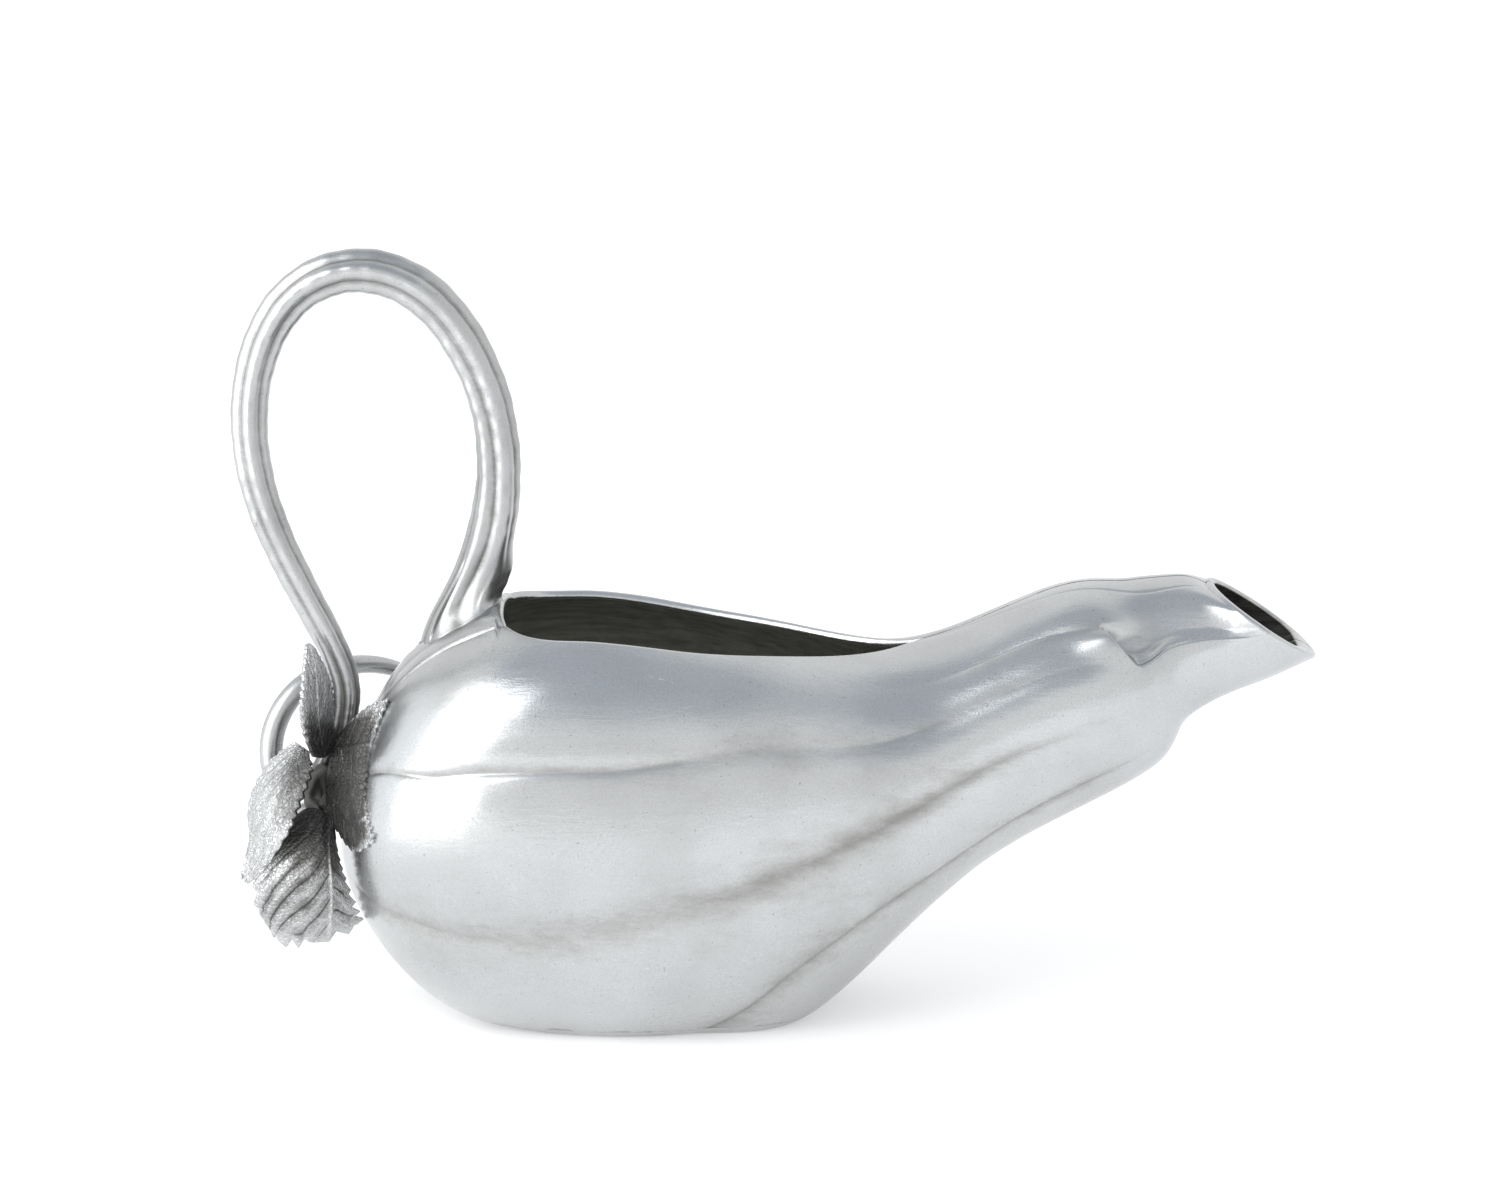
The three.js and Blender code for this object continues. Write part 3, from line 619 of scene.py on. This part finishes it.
def build_seam(name, slot_material):
    """A strip of solder that fills the gap between the halves, a little sunk and wavy outside."""
    outer, inner = [], []
    for angle, first, last in SEAM_RUNS[name]:
        count = int(abs(last - first) * SEAM_ROWS)
        s = np.linspace(first, last, count)
        out = surface(s, angle)
        normal = surface_normal(s, angle)
        normal[:, 1] = 0
        normal = unit(normal)
        wave = 0.05 * np.sin(9 * s) + 0.04 * np.sin(23 * s + 1)
        outer.append(out - normal * (SOLDER_SINK + wave)[:, None])
        inner.append(inner_surface(s, np.full(count, float(angle))) + normal * 0.1)
    outer, inner = np.concatenate(outer), np.concatenate(inner)
    rounded = unit(outer - inner)
    half = SEAM / 2 + SEAM_OVERLAP
    loops = [(inner if deep else outer) + rounded * lift + (0, half * y, 0)
             for y, deep, lift in SEAM_SECTION]
    n, m = len(outer), len(SEAM_SECTION)
    points = np.stack(loops, 1).reshape(-1, 3)
    points[:, 2] = np.maximum(points[:, 2], FOOT_PLATE)
    faces = []
    for k in range(m):
        one = np.arange(n - 1) * m + k
        two = np.arange(n - 1) * m + (k + 1) % m
        faces += np.stack([one, two, two + m, one + m], 1).tolist()
    faces += [list(range(m)), list(range((n - 1) * m, n * m))]
    add_piece(name, points, faces, slot_material)


# ---------------------------------------------------------------- vine handle and tendril
VINE_RIBS = 5
VINE_FLUTE = 0.1
VINE_TWIST = 1.3
ROOT_CENTRE, ROOT_LONG, ROOT_WIDE = -40.4, 8.7, 7.6  # x of the root's middle, and its half sizes on the body
ROOT_TOP = 1.9  # where along the vine's path the flare ends
ROOT_RINGS, ROOT_SINK = 40, 1.1
BEAD_ANGLE = 4.45  # where the small bead of solder lies, round the root
ROOT_BULGE, ROOT_TOE = 2.4, 0.35  # keeps the root's front upright: a swelling, and its share at the foot


def curve_through(points):
    axes = [spline([p[k] for p in points]) for k in range(len(points[0]))]
    return lambda t: np.stack([axis(t) for axis in axes], -1)


def frames(line):
    """Tangent and two cross directions along a line, turned as little as possible."""
    tangent = unit(np.gradient(line, axis=0))
    first = np.array([0.0, 1.0, 0.0])
    first = unit(first - tangent[0] * (first @ tangent[0]))
    side = [first]
    for t in tangent[1:]:
        v = side[-1] - t * (side[-1] @ t)
        side.append(v / np.linalg.norm(v))
    side = np.array(side)
    return tangent, side, np.cross(tangent, side)


def sweep(line, radius, profile, around, round_start=0.0, round_end=0.0):
    """Points and faces of a tube along a line, radius times profile(angle, share) round it."""
    n = len(line)
    _, side, other = frames(line)
    angle = circle(around)
    share = np.linspace(0, 1, n)
    shape = profile(angle[None, :], share[:, None]) * radius[:, None]
    points = (line[:, None] + side[:, None] * (np.cos(angle) * shape)[..., None]
              + other[:, None] * (np.sin(angle) * shape)[..., None])
    rings = [points[k] for k in range(n)]
    tangent = unit(np.gradient(line, axis=0))
    for end, length in ((0, round_start), (-1, round_end)):
        if not length:
            continue
        way = -tangent[0] if end == 0 else tangent[-1]
        caps = []
        for turn in np.linspace(0.15, 1, 6) * math.pi / 2 * 0.98:
            middle = line[end]
            caps.append(middle + (rings[end] - middle) * math.cos(turn) + way * length * math.sin(turn))
        rings = caps[::-1] + rings if end == 0 else rings + caps
    return np.concatenate(rings), ring_faces(len(rings), around)


def rib_profile(angle, share):
    """Five rounded ribs with narrow flutes between them, turning slowly."""
    phase = VINE_RIBS * (angle + VINE_TWIST * share)
    ridge = np.abs(np.cos(phase / 2))
    return 1 + VINE_FLUTE * (0.55 * np.cos(phase) + 0.45 * (2.4 * ridge**0.8 - 1.6))


def vine_line(count):
    at = curve_through([(x, 0, z) for x, z in VINE_PATH])
    t = np.linspace(0, len(VINE_PATH) - 1, 1200)
    line = at(t)
    t = np.interp(spaced(line, count) * 1199, np.arange(1200), t)
    return t, at(t)


def root_footprint(angle):
    """Where the vine's root meets the body: points and the body's normals, for angles round the vine."""
    x = ROOT_CENTRE - ROOT_LONG * np.sin(angle) * (1 + 0.05 * np.cos(VINE_RIBS * angle))
    y = ROOT_WIDE * np.cos(angle) * (1 + 0.05 * np.cos(VINE_RIBS * angle))
    s, a = on_surface(x, np.abs(y))
    mirror = np.ones((len(y), 3))
    mirror[y >= 0, 1] = -1
    return surface(s, a) * mirror, surface_normal(s, a) * mirror


def root_rings(top, up, angle):
    """Rings of the vine's trumpet-shaped root, from the body up to just below the ring 'top'."""
    foot, normal = root_footprint(angle)
    front = np.clip(-np.sin(angle), 0, 1)[:, None] ** 2
    centre = np.array([ROOT_CENTRE, 0, foot[:, 2].mean()])
    leave = unit(unit(centre - foot) * (0.8 - 0.7 * front) + normal * 0.75)
    reach = np.linalg.norm(top - foot, axis=1, keepdims=True)
    bulge = ROOT_BULGE * front * np.array([1, 0, 0])
    rings = [foot - normal * ROOT_SINK + bulge * ROOT_TOE]
    for u in np.linspace(0, 1, ROOT_RINGS)[:-1]:
        between = foot * (1 - u) ** 2 * (1 + 2 * u) + top * u * u * (3 - 2 * u)
        bend = leave * reach * 0.9 * u * (1 - u) ** 2 - up * reach * 1.5 * u * u * (1 - u)
        swell = (ROOT_TOE + (1 - ROOT_TOE) * smooth(0, 0.35, u)) * (1 - smooth(0.5, 1, u))
        rings.append(between + bend + bulge * swell)
    return rings


def build_vine(slot_material):
    """The ribbed vine, with a trumpet-shaped root that runs out onto the body."""
    t, line = vine_line(460)
    keep = t > ROOT_TOP
    t, line = t[keep], line[keep]
    radius = spline(VINE_RADII)(t) * (1 + 0.012 * np.sin(9 * t) + 0.01 * np.sin(23 * t + 1))
    around = 120
    points, _ = sweep(line, radius, rib_profile, around)
    angle = circle(around)
    rings = root_rings(points[:around], unit(line[1] - line[0]), angle)
    points = np.concatenate(rings + [points])
    count = len(points) // around
    share = np.concatenate([np.zeros(len(rings)), np.linspace(0, 1, len(line))])[:, None]
    ridge = np.abs(np.cos(VINE_RIBS * (angle[None, :] + VINE_TWIST * share) / 2))
    low = smooth(88, 62, points[:, 2].reshape(count, around))  # darker low down, near the leaves
    stain_and_shade = np.clip(0.75 * (1 - smooth(0.0, 0.95, ridge)) + 0.5 * low, 0, 1)
    faces = ring_faces(count, around)
    add_piece("handle_vine", points, faces, slot_material, {"stain_and_shade": stain_and_shade.ravel()})


def build_tendril(slot_material):
    at = curve_through(TENDRIL_PATH)
    t = np.linspace(0, len(TENDRIL_PATH) - 1, 220)
    radius = np.maximum(spline(TENDRIL_RADII)(t), 1.2)
    points, faces = sweep(at(t), radius, lambda a, u: 1 + 0.03 * np.cos(2 * a + 4 * u) + 0 * u, 32, 1.0, 1.4)
    add_piece("tendril", points, faces, slot_material)


def build_root_solder(slot_material):
    """The thin fillet of solder round the root of the handle, thicker in one place beside the mouth."""
    angle = circle(180)
    foot, normal = root_footprint(angle)
    centre = np.array([ROOT_CENTRE, 0, foot[:, 2].mean()])
    inward = unit(centre - foot)
    along = unit(np.roll(foot, -1, 0) - np.roll(foot, 1, 0))
    bead = bell(angle, BEAD_ANGLE, 0.22)
    size = 0.42 + 0.1 * np.sin(5 * angle + 1) + 0.08 * np.sin(13 * angle) + 0.8 * bead
    outward = unit(np.cross(along, normal))
    outward = np.where((outward * inward).sum(1, keepdims=True) > 0, -outward, outward)
    turn = circle(16)
    across = outward[:, None] * 1.25 * np.cos(turn)[None, :, None]
    upward = normal[:, None] * np.sin(turn)[None, :, None]
    points = (foot - normal * 0.25)[:, None] + (across + upward) * size[:, None, None]
    n, m = points.shape[:2]
    faces = []
    for k in range(n):
        one, two = k * m + np.arange(m), (k + 1) % n * m + np.arange(m)
        faces += np.stack([one, np.roll(one, -1), np.roll(two, -1), two], 1).tolist()
    add_piece("handle_root_solder", points.reshape(-1, 3), faces, slot_material)


def build_knot(slot_material):
    """The lump of solder that holds stem, tendril and leaves."""
    rings, around = 40, 56
    u = np.linspace(0, math.pi, rings)[:, None]
    v = circle(around)[None, :]
    way = np.stack([np.sin(u) * np.cos(v), np.cos(u) + 0 * v, np.sin(u) * np.sin(v)], -1)
    lumps = 0.06 * np.sin(3 * v + 2 * u) + 0.05 * np.sin(5 * u - 2 * v) + 0.04 * np.cos(4 * v + 5 * u)
    size = 0.95 + lumps * np.sin(u)
    points = (np.array(KNOT_CENTRE) + way * np.array(KNOT_RADII) * size[..., None]).reshape(-1, 3)
    faces = ring_faces(rings, around, flip=True)[:-2]
    # the knot is painted dark: grime on the solder and painted shade among the leaves
    grime_and_shade = np.full(len(points), KNOT_GRIME_AND_SHADE)
    add_piece("leaf_knot", points, faces, slot_material, {"stain_and_shade": grime_and_shade})


# ---------------------------------------------------------------- leaves
LEAF_ROWS, LEAF_COLUMNS = 190, 140
# ribs: (where across, -1..1); count and slant of the side veins; raised or, if negative, cut in; teeth on
# the side edges and on the far edge, as (count, bite); darkening by grime and painted shade, 0..1, higher
# on the leaves that lie in shade; press: the tip's move to the body
LEAF_LOOKS = {
    "leaf_upright": dict(ribs=(-0.1,), count=7, slant=0.5, raised=0.8, sides=(15, 0.13), far=(3, 0.0),
                         grime_and_shade=0.5, press=0),
    "leaf_outer": dict(ribs=(0.45,), count=5, slant=0.55, raised=1.0, sides=(13, 0.11), far=(4, 0.04),
                       grime_and_shade=-0.15, press=0),
    "leaf_side": dict(ribs=(-0.45, 0.6), count=4, slant=0.35, raised=-0.7, sides=(9, 0.04), far=(15, 0.06),
                      grime_and_shade=0.9, press=0.95),
    "leaf_lower": dict(ribs=(0.5,), count=5, slant=0.5, raised=-0.8, sides=(9, 0.1), far=(5, 0.07),
                       grime_and_shade=0.62, press=0),
}
PRESS_WAY = (0.8, 0.5, -0.25)
LEAF_FRONT = (-0.35, -1.0, 0.1)  # roughly the way the leaves' veined faces look
SHADE_HEART, SHADE_REACH, SHADE_SHARE = (-67, -14, 52), (8, 22), 0.9  # painted shade in the middle of the leaf cluster, near the knot


def natural_grid(rows, u, v):
    """A smooth patch through rows of (edge, midrib, edge): u 0..1 from base to tip, v -1..1 across."""
    count = len(rows) - 1
    parts = [[spline([row[c][k] for row in rows]) for k in range(3)] for c in range(3)]
    edge_a, mid, edge_b = (np.stack([f(u * count) for f in part], -1) for part in parts)
    v = v[..., None]
    return edge_a * v * (v - 1) / 2 + mid * (1 - v * v) + edge_b * v * (v + 1) / 2


def saw_teeth(x):
    """Slanted pointed teeth, -0.5..0.5, one for each whole number."""
    x = x % 1
    return np.where(x < 0.75, x / 0.75, (1 - x) / 0.25) - 0.5


def leaf_relief(name, u, v):
    """Height in millimetres of veins and quilting on a leaf's face, and how much grime and painted shade
    darken each point, 0..1.
    """
    look = LEAF_LOOKS[name]
    ribs = np.array(look["ribs"]) + 0.1 * (u[..., None] - 0.5)
    aside = v[..., None] - ribs
    nearest = np.argmin(np.abs(aside), -1)
    aside = np.take_along_axis(aside, nearest[..., None], -1)[..., 0]
    far = np.abs(aside)
    rib = np.exp(-((far / (0.05 - 0.02 * u)) ** 2))
    phase = u * (1 + 0.06 * np.sin(5 * aside)) - look["slant"] * far**1.1
    phase = phase * look["count"] + 0.2 * np.sign(aside)
    off = np.abs(phase - np.round(phase))
    side = np.exp(-((off / 0.034) ** 2)) * smooth(0.01, 0.08, far)
    small = phase * 3.0 + 0.25 * np.sin(14 * aside + 9 * u)
    off = np.abs(small - np.round(small))
    twigs = np.exp(-((off / 0.12) ** 2)) * smooth(0.05, 0.15, far) * (1 - side)
    quilt = np.cos(2 * math.pi * phase) * smooth(0.05, 0.3, far)
    crumple = np.sin(7 * u + 5 * v) * np.cos(9 * v - 4 * u) + 0.5 * np.sin(17 * u - 12 * v)
    raised = look["raised"]
    height = 0.32 * abs(raised) * rib + raised * (0.3 * side + 0.07 * twigs) - 0.06 * quilt + 0.14 * crumple
    # each leaf's base level is grime and painted shade: higher on the leaves that lie in shade
    grime_and_shade = look["grime_and_shade"] + 0.12 * quilt - 0.55 * raised * side - 0.5 * rib - 0.12 * raised * twigs
    return height, np.clip(grime_and_shade, 0, 1)


def leaf_sheet(rows, look, u, v):
    """The middle sheet of a leaf with its teeth cut, and its normals."""
    count, bite = look["sides"]
    teeth = saw_teeth(u * count + 0.15 * np.sin(11 * u + 2)) * smooth(0.03, 0.12, u) * v**4
    across = v * (1 + bite * teeth)
    count, bite = look["far"]
    along = u * (1 + bite * saw_teeth((v + 1) / 2 * count + 0.2 * np.sin(8 * v)) * u**6)
    press = (look["press"] * u**5)[..., None] * unit(np.array(PRESS_WAY))
    middle = natural_grid(rows, along, across) + press
    step = 0.004
    by_u = natural_grid(rows, along + step, across) - natural_grid(rows, along - step, across)
    by_v = natural_grid(rows, along, across + step) - natural_grid(rows, along, across - step)
    normal = unit(np.cross(by_u, by_v))
    return middle, normal if (normal @ np.array(LEAF_FRONT)).mean() > 0 else -normal


def build_leaf(name, slot_material):
    n, m = LEAF_ROWS, LEAF_COLUMNS
    u = np.linspace(0, 1, n)[:, None] * np.ones((1, m))
    v = np.linspace(-1, 1, m)[None, :] * np.ones((n, 1))
    middle, normal = leaf_sheet(LEAVES[name], LEAF_LOOKS[name], u, v)
    height, grime_and_shade = leaf_relief(name, u, v)
    border = np.maximum(np.abs(v) ** 8, u**14)
    thin = LEAF_THICKNESS * 0.5 * (1 - 0.45 * border)
    front = middle + normal * (thin + height * (1 - border))[..., None]
    back = middle - normal * (thin - 0.5 * height * (1 - border))[..., None]
    points = np.concatenate([front.reshape(-1, 3), back.reshape(-1, 3)])
    faces = [grid_faces(n, m), grid_faces(n, m, n * m, flip=True)]
    loop = ([(i, 0) for i in range(n)] + [(n - 1, j) for j in range(1, m)]
            + [(i, m - 1) for i in range(n - 2, -1, -1)] + [(0, j) for j in range(m - 2, 0, -1)])
    one = np.array([r * m + c for r, c in loop])
    faces.append(np.stack([one, one + n * m, np.roll(one, -1) + n * m, np.roll(one, -1)], 1))
    # painted shade, deepest in the middle of the leaf cluster near the knot, added to the grime
    heart = np.linalg.norm(points - np.array(SHADE_HEART), axis=1)
    cluster_shade = SHADE_SHARE * (1 - smooth(*SHADE_REACH, heart))
    edge_worn_grime_and_shade = (grime_and_shade * (1 - 0.8 * border)).ravel()
    grime_and_shade = np.clip(np.concatenate([edge_worn_grime_and_shade, edge_worn_grime_and_shade]) + cluster_shade, 0, 1)
    add_piece(name, points, np.concatenate(faces), slot_material, {"stain_and_shade": grime_and_shade})


# ---------------------------------------------------------------- materials
class Nodes:
    """Short ways to add shader nodes to a material or world, placed by one of its coordinates."""

    def __init__(self, owner, place="Object"):
        owner.use_nodes = True
        self.tree = owner.node_tree
        self.shader = self.tree.nodes.get("Principled BSDF")
        self.place = self.add("ShaderNodeTexCoord").outputs[place]

    def add(self, kind, **facts):
        node = self.tree.nodes.new(kind)
        for key, value in facts.items():
            setattr(node, key, value)
        return node

    def link(self, a, b):
        self.tree.links.new(a, b)

    def noise(self, scale, detail=3.0, rough=0.5, stretch=None, turn=None):
        node = self.add("ShaderNodeTexNoise")
        node.inputs["Scale"].default_value = scale
        node.inputs["Detail"].default_value = detail
        node.inputs["Roughness"].default_value = rough
        source = self.place
        if stretch or turn:
            mapping = self.add("ShaderNodeMapping")
            mapping.inputs["Scale"].default_value = stretch or (1, 1, 1)
            mapping.inputs["Rotation"].default_value = turn or (0, 0, 0)
            self.link(source, mapping.inputs["Vector"])
            source = mapping.outputs["Vector"]
        self.link(source, node.inputs["Vector"])
        return node.outputs["Fac"]

    def attribute(self, name):
        return self.add("ShaderNodeAttribute", attribute_name=name).outputs["Fac"]

    def span(self, value, low, high, to_low=0.0, to_high=1.0):
        node = self.add("ShaderNodeMapRange", interpolation_type="SMOOTHSTEP")
        for key, number in (("From Min", low), ("From Max", high), ("To Min", to_low), ("To Max", to_high)):
            node.inputs[key].default_value = number
        self.link(value, node.inputs["Value"])
        return node.outputs["Result"]

    def math(self, kind, a, b):
        node = self.add("ShaderNodeMath", operation=kind)
        for value, socket in zip((a, b), node.inputs):
            if isinstance(value, (int, float)):
                socket.default_value = value
            else:
                self.link(value, socket)
        return node.outputs["Value"]

    def mix(self, share, a, b):
        node = self.add("ShaderNodeMix", data_type="RGBA")
        for value, socket in ((share, node.inputs["Factor"]), (a, node.inputs["A"]), (b, node.inputs["B"])):
            if isinstance(value, tuple):
                socket.default_value = (*value, 1)
            elif isinstance(value, (int, float)):
                socket.default_value = value
            else:
                self.link(value, socket)
        return node.outputs["Result"]

    def bump(self, height, distance, before=None, strength=1.0):
        node = self.add("ShaderNodeBump")
        node.inputs["Distance"].default_value = distance
        node.inputs["Strength"].default_value = strength
        self.link(height, node.inputs["Height"])
        if before:
            self.link(before, node.inputs["Normal"])
        return node.outputs["Normal"]


def vein_net(n):
    """The fine net of veins between a leaf's side veins: 0 in the veins and 1 between them."""
    cells = n.add("ShaderNodeTexVoronoi", feature="DISTANCE_TO_EDGE")
    cells.inputs["Scale"].default_value = 950
    drift = n.add("ShaderNodeTexNoise")
    drift.inputs["Scale"].default_value = 500
    wobble = n.add("ShaderNodeVectorMath", operation="MULTIPLY_ADD")
    wobble.inputs[1].default_value = (0.0012, 0.0012, 0.0012)
    n.link(n.place, drift.inputs["Vector"])
    n.link(drift.outputs["Color"], wobble.inputs[0])
    n.link(n.place, wobble.inputs[2])
    n.link(wobble.outputs["Vector"], cells.inputs["Vector"])
    return n.span(cells.outputs["Distance"], 0.0, 0.16)


def dull_inside_and_spout_shade(n, brushed, deep):
    """The dull brushed inside, with painted shade that makes it nearly black where 'deep' reaches 2, in the
    spout.
    """
    dull = n.mix(n.span(brushed, 0.3, 0.7), (0.36, 0.36, 0.33), (0.62, 0.62, 0.57))
    # painted shade: the spout's deep inside is coloured nearly black
    black = n.mix(n.span(brushed, 0.35, 0.65), (0.04, 0.04, 0.037), (0.12, 0.12, 0.11))
    return n.mix(n.span(deep, 1, 2), dull, black)


def pewter(name, bright, dull, patina, rough, grain=1.0, inside=False, veined=False, stain_and_shade_strength=0.7):
    """Satin pewter: cloudy tone and gloss, brown grain in the hollows and painted shade where a piece asks
    for it, fine scratches and specks.
    """
    material = bpy.data.materials.new(name)
    n = Nodes(material)
    cloud = n.span(n.noise(34, 4, 0.55), 0.35, 0.7)
    fine = n.noise(2600, 3, 0.6)
    specks = n.span(n.noise(1300, 2, 0.5), 0.69, 0.76)
    scratch = n.noise(260, 4, 0.65, stretch=(0.12, 1, 1.6), turn=(0, 0.5, 0))
    patches = n.math("SUBTRACT", n.noise(190, 7, 0.8, stretch=(0.3, 1, 1)), 0.5)
    # the attribute read here darkens the colour towards patina: real patina in the body's hollows and the
    # vine's flutes, and painted shade on the leaves and the knot
    stain_and_shade_amount = n.span(n.math("ADD", n.attribute("stain_and_shade"), patches), 0.25, 1.0)
    colour = n.mix(cloud, bright, dull)
    colour = n.mix(n.math("MULTIPLY", stain_and_shade_amount, stain_and_shade_strength), colour, patina)
    colour = n.mix(n.math("MULTIPLY", specks, 0.45), colour, patina)
    colour = n.mix(n.span(fine, 0.3, 0.7, 0.0, 0.16), colour, patina)
    gloss = n.math("ADD", n.span(cloud, 0, 1, rough - 0.03, rough + 0.05),
                   n.math("MULTIPLY", n.math("SUBTRACT", scratch, 0.5), 0.14 * grain))
    gloss = n.math("ADD", gloss, n.math("MULTIPLY", stain_and_shade_amount, 0.18))
    normal = n.bump(n.noise(55, 3, 0.5), 0.0005, strength=0.3)
    normal = n.bump(scratch, 0.00003 * grain, normal)
    normal = n.bump(fine, 0.000012 * grain, normal)
    if veined:
        net = vein_net(n)
        normal = n.bump(net, 0.0001, normal)
        colour = n.mix(n.math("MULTIPLY", net, 0.14), colour, patina)
    if inside:
        deep = n.attribute("inside")
        brushed = n.noise(420, 5, 0.7, stretch=(0.08, 1, 1))
        colour = n.mix(deep, colour, dull_inside_and_spout_shade(n, brushed, deep))
        gloss = n.math("MAXIMUM", gloss, n.math("MULTIPLY", deep, 0.5))
        normal = n.bump(brushed, 0.00008, normal)
    n.link(colour, n.shader.inputs["Base Color"])
    n.link(gloss, n.shader.inputs["Roughness"])
    n.link(normal, n.shader.inputs["Normal"])
    n.shader.inputs["Metallic"].default_value = 1.0
    return material


# ---------------------------------------------------------------- studio
LENS, SENSOR = 120, 36  # millimetres
VIEW_WIDTH = 0.3352  # metres across the picture at the point looked at
VIEW_ELEVATION = 12
LOOK_AT = (0.0246, 0.0, 0.0928)
FLOOR_REACH = 6
FLOOR_GLOW = 0.28  # keeps the floor white right across the picture
CEILING_TILT = 20  # degrees; the bright walls reach higher behind the object than in front of it
CEILING_FROM = (42, 66)  # degrees above the tilted horizon where the walls give way to the dim ceiling
HORIZON_LIGHT = (1.0, 1.01, 1.02)
CEILING_LIGHT = (0.56, 0.605, 0.665)


def build_camera():
    data = bpy.data.cameras.new("camera")
    data.lens = LENS
    data.sensor_width = SENSOR
    camera = bpy.data.objects.new("camera", data)
    bpy.context.scene.collection.objects.link(camera)
    away = VIEW_WIDTH * LENS / SENSOR
    up = math.radians(VIEW_ELEVATION)
    back = Vector((0, -math.cos(up), math.sin(up)))
    camera.location = Vector(LOOK_AT) + back * away
    camera.rotation_euler = (-back).to_track_quat("-Z", "Y").to_euler()
    data.clip_start, data.clip_end = 0.05, 30
    bpy.context.scene.camera = camera


def area_light(name, place, target, size, power, colour=(1, 1, 1)):
    data = bpy.data.lights.new(name, "AREA")
    data.shape = "RECTANGLE"
    data.size, data.size_y = size
    data.energy = power
    data.color = colour
    light = bpy.data.objects.new(name, data)
    light.location = place
    light.rotation_euler = (Vector(target) - Vector(place)).to_track_quat("-Z", "Y").to_euler()
    bpy.context.scene.collection.objects.link(light)


def build_floor():
    x, y = FLOOR_REACH, FLOOR_REACH
    mesh = bpy.data.meshes.new("floor")
    mesh.from_pydata([(-x, -y, 0), (x, -y, 0), (x, y, 0), (-x, y, 0)], [], [(0, 1, 2, 3)])
    floor = bpy.data.objects.new("floor", mesh)
    bpy.context.scene.collection.objects.link(floor)
    white = bpy.data.materials.new("floor_white")
    n = Nodes(white)
    n.link(n.mix(n.noise(3, 2), (0.86, 0.86, 0.86), (0.88, 0.88, 0.88)), n.shader.inputs["Base Color"])
    n.shader.inputs["Roughness"].default_value = 0.9
    n.shader.inputs["Emission Color"].default_value = (1, 1, 1, 1)
    n.shader.inputs["Emission Strength"].default_value = FLOOR_GLOW
    mesh.materials.append(white)


def build_studio():
    """A big key light at the left, a faint bluish one behind it, and a low card beside the body."""
    build_floor()
    build_sky()
    area_light("key", (-0.98, -0.74, 0.68), (0, 0, 0.1), (1.15, 1.4), 14)
    area_light("left_fill", (-1.35, 0.2, 0.45), (0, 0, 0.05), (1.0, 0.9), 1.3, (0.86, 0.94, 1.0))
    area_light("low_card", (-0.6, -0.5, 0.02), (-0.6, -0.5, 1), (0.55, 0.7), 2.2)
    bpy.context.scene.view_settings.view_transform = "Standard"


def build_sky():
    """Bright white low down, all round, and a dim blue-grey ceiling."""
    world = bpy.data.worlds.new("studio")
    bpy.context.scene.world = world
    n = Nodes(world, "Generated")
    tilt = math.radians(CEILING_TILT)
    height = n.add("ShaderNodeVectorMath", operation="DOT_PRODUCT")
    height.inputs[1].default_value = (0, -math.sin(tilt), math.cos(tilt))
    n.link(n.place, height.inputs[0])
    low, high = (math.sin(math.radians(degrees)) for degrees in CEILING_FROM)
    light = n.mix(n.span(height.outputs["Value"], low, high), HORIZON_LIGHT, CEILING_LIGHT)
    n.link(light, n.tree.nodes["Background"].inputs["Color"])


# ---------------------------------------------------------------- the sauce boat
# each: bright and dull tone, patina, roughness
silver = pewter("pewter_polished", (0.605, 0.615, 0.62), (0.54, 0.548, 0.55), (0.2, 0.185, 0.16), 0.25,
                inside=True)
stem = pewter("pewter_stem", (0.55, 0.555, 0.555), (0.41, 0.415, 0.415), (0.12, 0.112, 0.1), 0.33, grain=1.6)
leaf = pewter("pewter_leaf", (0.74, 0.745, 0.745), (0.6, 0.605, 0.605), (0.06, 0.057, 0.052), 0.3,
              veined=True, stain_and_shade_strength=0.92)
solder = pewter("solder_grey", (0.45, 0.45, 0.44), (0.32, 0.32, 0.31), (0.06, 0.055, 0.05), 0.36,
                stain_and_shade_strength=0.9)
line = pewter("solder_polished", (0.56, 0.565, 0.565), (0.46, 0.465, 0.465), (0.2, 0.185, 0.16), 0.3)

build_half("body_half_right", -1, silver)
build_half("body_half_left", 1, silver)
build_foot_plate(silver)
for seam in SEAM_RUNS:
    build_seam(seam, solder if seam == "seam_solder_neck" else line)
build_vine(stem)
build_tendril(stem)
build_root_solder(solder)
build_knot(solder)
for leaf_name in LEAVES:
    build_leaf(leaf_name, leaf)
build_studio()
build_camera()
